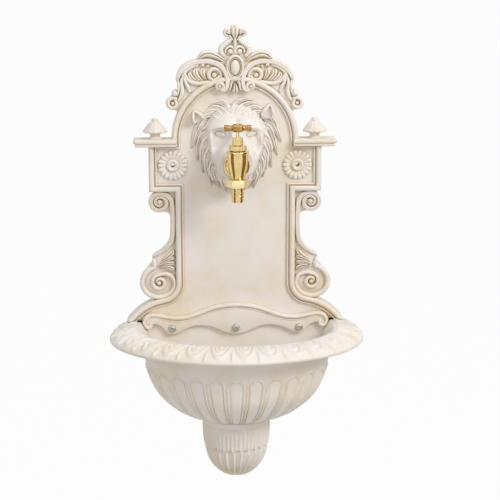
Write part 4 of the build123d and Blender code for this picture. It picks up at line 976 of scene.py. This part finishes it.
class FOUNTAIN_OT_corbel(bpy.types.Operator):
    """Fluted cup under the bowl: a banded top, reeds, and broad leaves that overlap them"""

    bl_idname = "fountain.corbel"
    bl_label = "Corbel"

    def execute(self, context):
        sizes = context.scene.fountain_sizes
        paint = finish_of(context, "thinned_ivory_paint")
        grid = self.shell([
            (-403.6, 50), (-403.4, 55), (-404, 57.4), (-406, 58.4), (-409, 57.8), (-411.4, 56), (-413, 54.6),
            (-420, 54.8), (-430, 54.6), (-442, 53.8), (-455, 52), (-468, 49), (-479, 44.6), (-489, 38.4), (-497, 30.4),
            (-503, 21), (-506.6, 11), (-508, 2),
        ], 8, 130, 200, 14)
        steps = np.linalg.norm(np.diff(grid[40], axis=0), axis=1)
        run = np.concatenate([[0], np.cumsum(steps)])
        run = run - run[-1] / 2
        z, leaf_pitch = grid[:, :1, 2], 13.5
        leaf_place = (run / leaf_pitch + 0.5) % 1 - 0.5
        reed_place = (run / (leaf_pitch / 2) + 0.5) % 1 - 0.5
        reed = 1 - ridge(0.5 - np.abs(reed_place), 0.2)
        # A broad leaf is inside its rounded top and between its sides
        leaf_top, leaf_round, band_foot, cup_foot = -450.0, 7.0, -413.5, -508.0
        top = leaf_top - leaf_round * (2 * leaf_place) ** 2
        in_leaf = np.clip((top - z) / 2, 0, 1)
        leaf = 1.6 + 0.2 * np.cos(math.pi * leaf_place) - 1.6 * ridge(0.5 - np.abs(leaf_place), 0.12)
        leaf = leaf - 0.6 * ridge(leaf_place, 0.08)
        fade = np.clip((band_foot - z) / 2, 0, 1) * np.clip((z - cup_foot) / 14, 0, 1)
        relief = sizes.flute_relief / MM * fade * (reed * (1 - in_leaf) + leaf * in_leaf)
        grid = relieved(grid, relief)
        hollow = self.shell([
            (-408, 49), (-430, 48.6), (-455, 46), (-474, 41), (-486, 34), (-495, 24), (-500.5, 12), (-502, 2),
        ], 6, 40, 60, 10)
        edges = [np.concatenate([side[:, 0][:, ::2], (side[:, -1][:, ::2])[::-1]]) for side in (grid, hollow)]
        back = flat(edges, 0)
        caps = [level(side[end], side[end, 0, 2]) for side in (grid, hollow) for end in (0, -1)]
        add_piece("corbel_cup", [sheet(grid), sheet(hollow), back, *caps], paint, replaces=("corbel",))
        return {"FINISHED"}

    def shell(self, levels, steps, count, around, sides):
        """A face of the cup from its (height, radius) levels: half rings in front, and sides that run to the wall."""
        lines = even(curve(levels, steps), count)
        reach = lines[:, 1:]
        centre = np.full_like(reach, CORBEL_DEPTH)
        x, depth = bowl_ring(reach, reach, centre, np.maximum(reach - 2.5, 0.5), 0.0, around, sides)
        return spots(x, depth, lines[:, :1])


def hill(x, z, centre, half, power=2.0):
    """A smooth hill of height 1: a bell of the distance from its centre, measured in half widths."""
    return np.exp(-(np.hypot((x - centre[0]) / half[0], (z - centre[1]) / half[1]) ** power))


def dome(x, z, centre, half):
    """Half an ellipsoid of height 1, and 0 outside it."""
    return np.sqrt(np.clip(1 - ((x - centre[0]) / half[0]) ** 2 - ((z - centre[1]) / half[1]) ** 2, 0, 1))


def face_height(x, z):
    """Height of the lion's face over the field: a dome with a wedge, and hills for brows, lids, cheeks and chin."""
    side = np.abs(x)
    height = 36 * dome(x, z, (0, 28), (54, 66)) ** 0.65
    # Forehead in two swellings with a furrow between, and brows that droop outwards
    height = height + 3 * hill(side, z, (17, 76), (13, 9)) - 4 * hill(x, z, (0, 72), (4.5, 9))
    height = height + 8.5 * hill(side, z + 0.008 * (side - 14) ** 2, (22, 64.5), (19, 5))
    # Wedge of nose and muzzle: its edge runs down and out from between the eyes to the corners of the mouth
    edge = np.interp(z, [-14, 4, 26, 48, 66], [24, 31, 30, 10.5, 9])
    wedge = eased(np.clip((edge + 2 - side) / 6, 0, 1))
    wedge = wedge * np.clip((70 - z) / 22, 0, 1) * np.clip((z + 18) / 10, 0, 1)
    # Sockets and slanted almond eyes between lids
    eye_x, eye_z, level_share, slant = 24.5, 52.0, 0.98, 0.17
    along = (side - eye_x) * level_share + (z - eye_z) * slant
    over = (z - eye_z) * level_share - (side - eye_x) * slant
    hollow = 7 * hill(along, over, (0, 0.5), (13, 7)) + 12 * hill(side, z, (29, 37), (10, 13), 2.4)
    height = height - hollow * (1 - wedge)
    almond = np.hypot(along / 8.2, over / 4.2)
    height = height + 5.4 * np.sqrt(np.clip(1 - almond**2, 0, 1)) + 2.2 * ridge(almond - 1.24, 0.17)
    # Wedge, cheekbones, muzzle, chin and the line of the mouth
    height = height + 11 * wedge + 6 * hill(side, z, (42, 44), (8, 15))
    height = height + 7 * hill(side, z, (20, 10), (14, 20), 2.8) + 13 * hill(x, z, (0, -24), (15, 13), 3)
    height = height - 10 * hill(x, z, (0, -13), (26, 4.2))
    # Flat seat for the tap's wall plate
    seat_r, seat_edge, seat_height = 29.0, 7.0, 49.4
    seat = eased(np.clip((seat_r - np.hypot(x, z - TAP_Z)) / seat_edge, 0, 1))
    return height * (1 - seat) + seat_height * seat


def mask_height(x, z):
    """Height of the whole mask over the field: the face, eased at its edge into a broad dome that carries the mane."""
    edge = np.interp(z, [-40, -20, 0, 25, 60, 90], [18, 28, 38, 47, 50, 40])
    share = np.clip((edge + 3 - np.abs(x)) / 13, 0, 1) * np.clip((90 - z) / 16, 0, 1)
    bed = 28 * dome(x, z, (0, 31), (55, 65)) ** 0.9
    return np.maximum(face_height(x, z) * eased(share), bed)


class FOUNTAIN_OT_mask(bpy.types.Operator):
    """Lion mask: a modelled face, two ears, and a mane of reeded locks laid over one another"""

    bl_idname = "fountain.mask"
    bl_label = "Lion mask"

    def execute(self, context):
        paint = finish_of(context, "rubbed_ivory_paint")
        # Face and the bed of the mane: rings from the middle out to the mane's edge, which goes into the field
        turn = np.linspace(0, 2 * math.pi, 361)
        share = np.linspace(0, 1, 150)[:, None] ** 0.9
        bed_half, bed_z, bed_tall = 54.5, 31.0, 64.5
        x, z = bed_half * share * np.cos(turn), bed_z + bed_tall * share * np.sin(turn)
        height = np.where(share == 1, -2, mask_height(x, z))
        face = [sheet(spots(x, FIELD_DEPTH + height, z))]
        face += self.ear((50, 74), (54.5, 95), 8.0) + self.ear((-56, 70), (-64, 85), 7.2)
        add_piece("lion_face", face, paint, replaces=("lion_mask",))
        # Locks from root to tip: a tier of broad ones, whose tips stand clear on the field, and narrower ones over it
        broad = [
            [(44, 74), (58, 66), (66, 52), (73, 36)], [(44, 60), (55, 50), (61, 35), (67, 15)],
            [(43, 45), (52, 33), (55, 16), (57.5, -5)], [(39, 28), (46, 14), (46, -2), (44, -20)],
            [(33, 8), (37, -5), (34, -20), (28.5, -38)],
            [(-44, 70), (-57, 61), (-63, 46), (-69, 26)], [(-44, 55), (-53, 44), (-57, 28), (-60.5, 7)],
            [(-42, 40), (-50, 27), (-51.5, 10), (-51.5, -13)], [(-37, 22), (-44, 8), (-43, -10), (-37, -33)],
            [(-30, 3), (-35, -9), (-31, -22), (-25, -36)],
        ]
        narrow = [
            [(43, 82), (54, 77), (62, 67), (67, 54)], [(43, 67), (53, 60), (60, 47), (64, 32)],
            [(43, 52), (51, 43), (55, 29), (57, 12)], [(41, 37), (48, 25), (50, 9), (49, -8)],
            [(36, 19), (42, 6), (41, -9), (37, -24)], [(28, -3), (32, -13), (29, -25), (21, -37)],
            [(-43, 78), (-53, 71), (-60, 58), (-64, 42)], [(-43, 63), (-52, 53), (-57, 38), (-61, 20)],
            [(-42, 48), (-50, 36), (-53, 20), (-54, 2)], [(-39, 31), (-46, 18), (-47, 1), (-44, -18)],
            [(-33, 12), (-39, 0), (-38, -15), (-31, -31)],
            [(-21, -13), (-21, -25), (-17, -34), (-15, -42)], [(19, -14), (20, -25), (17, -33), (12, -42)],
            [(0, -27), (-4, -34), (-5, -39), (-2, -43.5)],
        ]
        mane = []
        for tier, half, rise, reeds in ((broad, 6.0, 6.0, 3), (narrow, 4.2, 8.0, 2)):
            mane += [self.lock(np.array(corners, float), half, rise, reeds) for corners in tier]
        # Hair over the brow, parted left of the middle: strands that rise from the hairline and fall outwards
        for corners, half in (
            ([(-8, 82), (0, 95), (13, 103), (28, 102)], 4.2), ([(-2, 80), (9, 92), (23, 98), (39, 94)], 4.6),
            ([(8, 79), (19, 88), (32, 92), (47, 84)], 4.8), ([(20, 77), (30, 83), (41, 83), (53, 73)], 4.8),
            ([(32, 74), (40, 77), (48, 75), (56, 66)], 4.6),
            ([(-9, 84), (-15, 94), (-27, 99), (-41, 93)], 4.2), ([(-13, 81), (-22, 89), (-34, 92), (-47, 84)], 4.6),
            ([(-21, 79), (-30, 85), (-41, 85), (-52, 75)], 4.8), ([(-30, 75), (-39, 79), (-48, 77), (-57, 66)], 4.6),
            ([(-5, 88), (-1, 97), (7, 103), (17, 105)], 3.2), ([(-10, 90), (-14, 97), (-22, 101), (-32, 100)], 3.2),
        ):
            mane.append(self.lock(np.array(corners, float), half, 6.0, 2))
        add_piece("lion_mane", mane, paint)
        return {"FINISHED"}

    def lock(self, corners, half, rise, reeds):
        """One lock: a reeded moulding that grows out of the face or the mane's bed and ends in a point on the field."""
        line = even(curve(corners, 12), 48)
        bite, skirt = 1.5, 6.0
        bed = FIELD_DEPTH + np.maximum(mask_height(line[:, 0], line[:, 1]), bite) - bite
        width = half * np.array([0.55, 0.9, 1.0, 0.98, 0.86, 0.66, 0.4, 0.12])
        swell = rise * np.array([0.3, 0.65, 0.9, 1.0, 1.0, 0.9, 0.7, 0.4])
        return rib(line, width, swell, bed, reeds, 0.0, np.minimum(skirt, bed - FIELD_DEPTH + 2), (0.1, 0.04))

    def ear(self, root, tip, half):
        """A pointed ear: a rounded rim along its two sides and a hollow shell between them."""
        root, tip = np.array(root, float), np.array(tip, float)
        along = tip - root
        side = np.array([-along[1], along[0]]) / np.linalg.norm(along) * half
        bed = FIELD_DEPTH + max(float(mask_height(*root)), 3) + 6
        middle = root + 0.45 * along
        loop = curve([root + side, middle + 0.95 * side, tip, middle - 0.95 * side, root - side], 12)
        rim = rib(
            even(loop, 60), [2.6, 2.6, 2.0, 2.6, 2.6], [6, 7, 6, 7, 6],
            [bed - 1, bed + 1, bed - 4, bed + 1, bed - 1], sink=8.0,
        )
        shell = plate(loop, bed - 1.5, FIELD_DEPTH - 2, 0.6)
        return [rim, *shell]


class FOUNTAIN_OT_fittings(bpy.types.Operator):
    """Finishes of the turned and stamped fittings, which keep their CAD shapes with eased edges"""

    bl_idname = "fountain.fittings"
    bl_label = "Fittings"

    def execute(self, context):
        finishes = {
            "ivory": "antiqued_ivory_paint", "brass": "polished_brass", "steel": "zinc_plated_steel",
            "rubber": "moulded_rubber",
        }
        # Goblet round the tap's body: a turned skin with a ring at its brim, closed inside the casting
        skin = curve([
            (10.2, -8), (10.9, -6.8), (11.4, -4), (12.4, 0), (13.8, 6), (15, 12), (15.7, 18), (15.8, 24), (15.8, 29),
            (16.6, 29.8), (16.8, 31.2), (16.5, 32.6), (15.6, 33.1),
        ], 4)
        skin = np.concatenate([[(8.8, -8)], skin, [(14.6, 33.1), (14.6, 20), (8.8, -8)]])
        polish = finish_of(context, "polished_brass")
        add_piece("tap_goblet", [lathe(skin, 0, TAP_DEPTH, 72, 0)], polish, crease=35)
        # The tee handle's dark brown brass is a painted reflection
        special = {"union_nut": "satin_brass", "tee_handle": "dark_reflection_brass"}
        for subpart in frame["record"]["subparts"]:
            node = frame["nodes"][subpart["node"]]
            node.data.materials.clear()
            finish = special.get(subpart["node"]) or finishes[subpart["material_slot"]]
            node.data.materials.append(finish_of(context, finish))
            weld = node.modifiers.new("Joined triangles", "WELD")
            weld.merge_threshold = 0.002 * MM
            bevel = node.modifiers.new("Eased edges", "BEVEL")
            bevel.width, bevel.segments, bevel.limit_method = 0.35 * MM, 2, "ANGLE"
            bevel.angle_limit, bevel.harden_normals = math.radians(40), False
            node.data.polygons.foreach_set("use_smooth", np.ones(len(node.data.polygons), bool))
            node.data.set_sharp_from_angle(angle=math.radians(35))
        return {"FINISHED"}


def seen_directly(tree):
    """A socket that is 1 for rays from the camera, a mirror or glass, and 0 for light that was scattered."""
    rays = add_node(tree, "LightPath").outputs
    seen = add_node(tree, "Math", {0: rays["Is Camera Ray"], 1: rays["Is Glossy Ray"]}, operation="MAXIMUM")
    seen = add_node(tree, "Math", {0: seen.outputs[0], 1: rays["Is Transmission Ray"]}, operation="MAXIMUM")
    return seen.outputs[0]


def add_object(scene, name, data):
    """Adds an object to the scene."""
    made = bpy.data.objects.new(name, data)
    scene.collection.objects.link(made)
    return made


def add_aimed(scene, name, data, place, aim):
    """Adds a lamp or a camera at a place, turned towards its aim."""
    made = add_object(scene, name, data)
    made.location = place
    made.rotation_euler = (Vector(aim) - Vector(place)).to_track_quat("-Z", "Y").to_euler()
    return made


def flat_mesh(name, corners, faces, material):
    """A mesh of flat faces in one material."""
    mesh = bpy.data.meshes.new(name)
    mesh.from_pydata(corners, [], faces)
    mesh.materials.append(material)
    return mesh


class FOUNTAIN_OT_stage(bpy.types.Operator):
    """Pale floor, soft lamps, brown strips for the metal to mirror, and the camera"""

    bl_idname = "fountain.stage"
    bl_label = "Stage"

    def execute(self, context):
        scene = context.scene
        scene.view_settings.view_transform = "Standard"
        self.add_floor(context)
        self.add_world(scene)
        self.add_strips(scene)
        for name, place, size, power in (
            ("Key lamp", (1.8, -2.0, 1.6), 1.0, 43.0),
            ("Fill lamp", (-1.9, -2.2, 0.7), 1.6, 8.0),
            ("Top lamp", (0.1, -0.8, 1.9), 1.0, 4.0),
        ):
            lamp = bpy.data.lights.new(name, "AREA")
            lamp.size, lamp.energy = size, power
            add_aimed(scene, name, lamp, place, LAMP_AIM)
        camera = add_aimed(scene, "Camera", bpy.data.cameras.new("Camera"), CAMERA_PLACE, CAMERA_AIM)
        camera.data.lens, camera.data.sensor_width = CAMERA_LENS, 36
        scene.camera = camera
        return {"FINISHED"}

    def add_floor(self, context):
        """A wide level floor that keeps the object's shadow and reads as the pale background."""
        material, tree, output = new_material("studio_floor")
        matt = add_node(tree, "BsdfDiffuse", {"Color": context.scene.fountain_colours.floor})
        glow = add_node(tree, "Emission", {"Color": (1, 1, 1, 1), "Strength": 1.0})
        share = add_node(tree, "Math", {0: seen_directly(tree), 1: 0.96}, operation="MULTIPLY")
        mixed = add_node(tree, "MixShader", {0: share.outputs[0], 1: matt.outputs[0], 2: glow.outputs[0]})
        tree.links.new(mixed.outputs[0], output.inputs[0])
        height = -context.scene.fountain_sizes.floor_drop
        corners = [(x * FLOOR_REACH, y * FLOOR_REACH, height) for x, y in ((-1, -1), (1, -1), (1, 1), (-1, 1))]
        floor = add_object(context.scene, "studio_floor", flat_mesh("studio_floor", corners, [(0, 1, 2, 3)], material))

    def add_strips(self, scene):
        """A brown strip on each side of the camera, up from a runner on the floor, which only mirrored rays see.

        Polished metal needs something dark to mirror, as it has in a room.
        """
        material, tree, output = new_material("studio_strip")
        cloth = add_node(tree, "Emission", {"Color": linear("#8f7038"), "Strength": 1.0})
        tree.links.new(cloth.outputs[0], output.inputs[0])
        low, high = 0.01 - scene.fountain_sizes.floor_drop, 1.7
        for name, turns in (("studio_strip_left", (-86, -46)), ("studio_strip_right", (52, 104))):
            corners = [
                (reach * math.sin(math.radians(turn)), -0.1 - reach * math.cos(math.radians(turn)), height)
                for reach, height in ((0.6, low), (3.4, low), (3.4, high)) for turn in turns
            ]
            strip = add_object(scene, name, flat_mesh(name, corners, [(0, 1, 3, 2), (2, 3, 5, 4)], material))
            strip.visible_camera = strip.visible_diffuse = strip.visible_shadow = False

    def add_world(self, scene):
        """Soft light from all round, and a white background where it is seen or mirrored."""
        scene.world = bpy.data.worlds.new("Studio")
        scene.world.use_nodes = True
        tree = scene.world.node_tree
        tree.nodes.clear()
        light = add_node(tree, "Background", {"Color": (1.0, 0.985, 0.96, 1), "Strength": 0.55})
        white = add_node(tree, "Background", {"Color": (1, 1, 1, 1), "Strength": 1.0})
        mixed = add_node(tree, "MixShader", {0: seen_directly(tree), 1: light.outputs[0], 2: white.outputs[0]})
        output = add_node(tree, "OutputWorld")
        tree.links.new(mixed.outputs[0], output.inputs[0])


class FOUNTAIN_PT_build(bpy.types.Panel):
    """Lists the steps that build the fountain, and its sizes and colours"""

    bl_idname = "FOUNTAIN_PT_build"
    bl_label = "Wall fountain"
    bl_space_type = "VIEW_3D"
    bl_region_type = "UI"
    bl_category = "Fountain"

    def draw(self, context):
        for operator in OPERATORS:
            self.layout.operator(operator.bl_idname)
        for group in (context.scene.fountain_sizes, context.scene.fountain_colours):
            column = self.layout.column()
            for name in group.__annotations__:
                column.prop(group, name)


OPERATORS = (
    FOUNTAIN_OT_fittings, FOUNTAIN_OT_panel, FOUNTAIN_OT_scrolls, FOUNTAIN_OT_crest, FOUNTAIN_OT_apron,
    FOUNTAIN_OT_finials, FOUNTAIN_OT_basin, FOUNTAIN_OT_corbel, FOUNTAIN_OT_mask, FOUNTAIN_OT_stage,
)
CLASSES = (FountainSizes, FountainColours, *OPERATORS, FOUNTAIN_PT_build)


def register():
    for each in CLASSES:
        bpy.utils.register_class(each)
    bpy.types.Scene.fountain_sizes = PointerProperty(type=FountainSizes)
    bpy.types.Scene.fountain_colours = PointerProperty(type=FountainColours)


def unregister():
    del bpy.types.Scene.fountain_colours
    del bpy.types.Scene.fountain_sizes
    for each in reversed(CLASSES):
        bpy.utils.unregister_class(each)


def main():
    register()
    for operator in OPERATORS:
        group, name = operator.bl_idname.split(".")
        getattr(getattr(bpy.ops, group), name)()


if __name__ == "__main__":
    main()
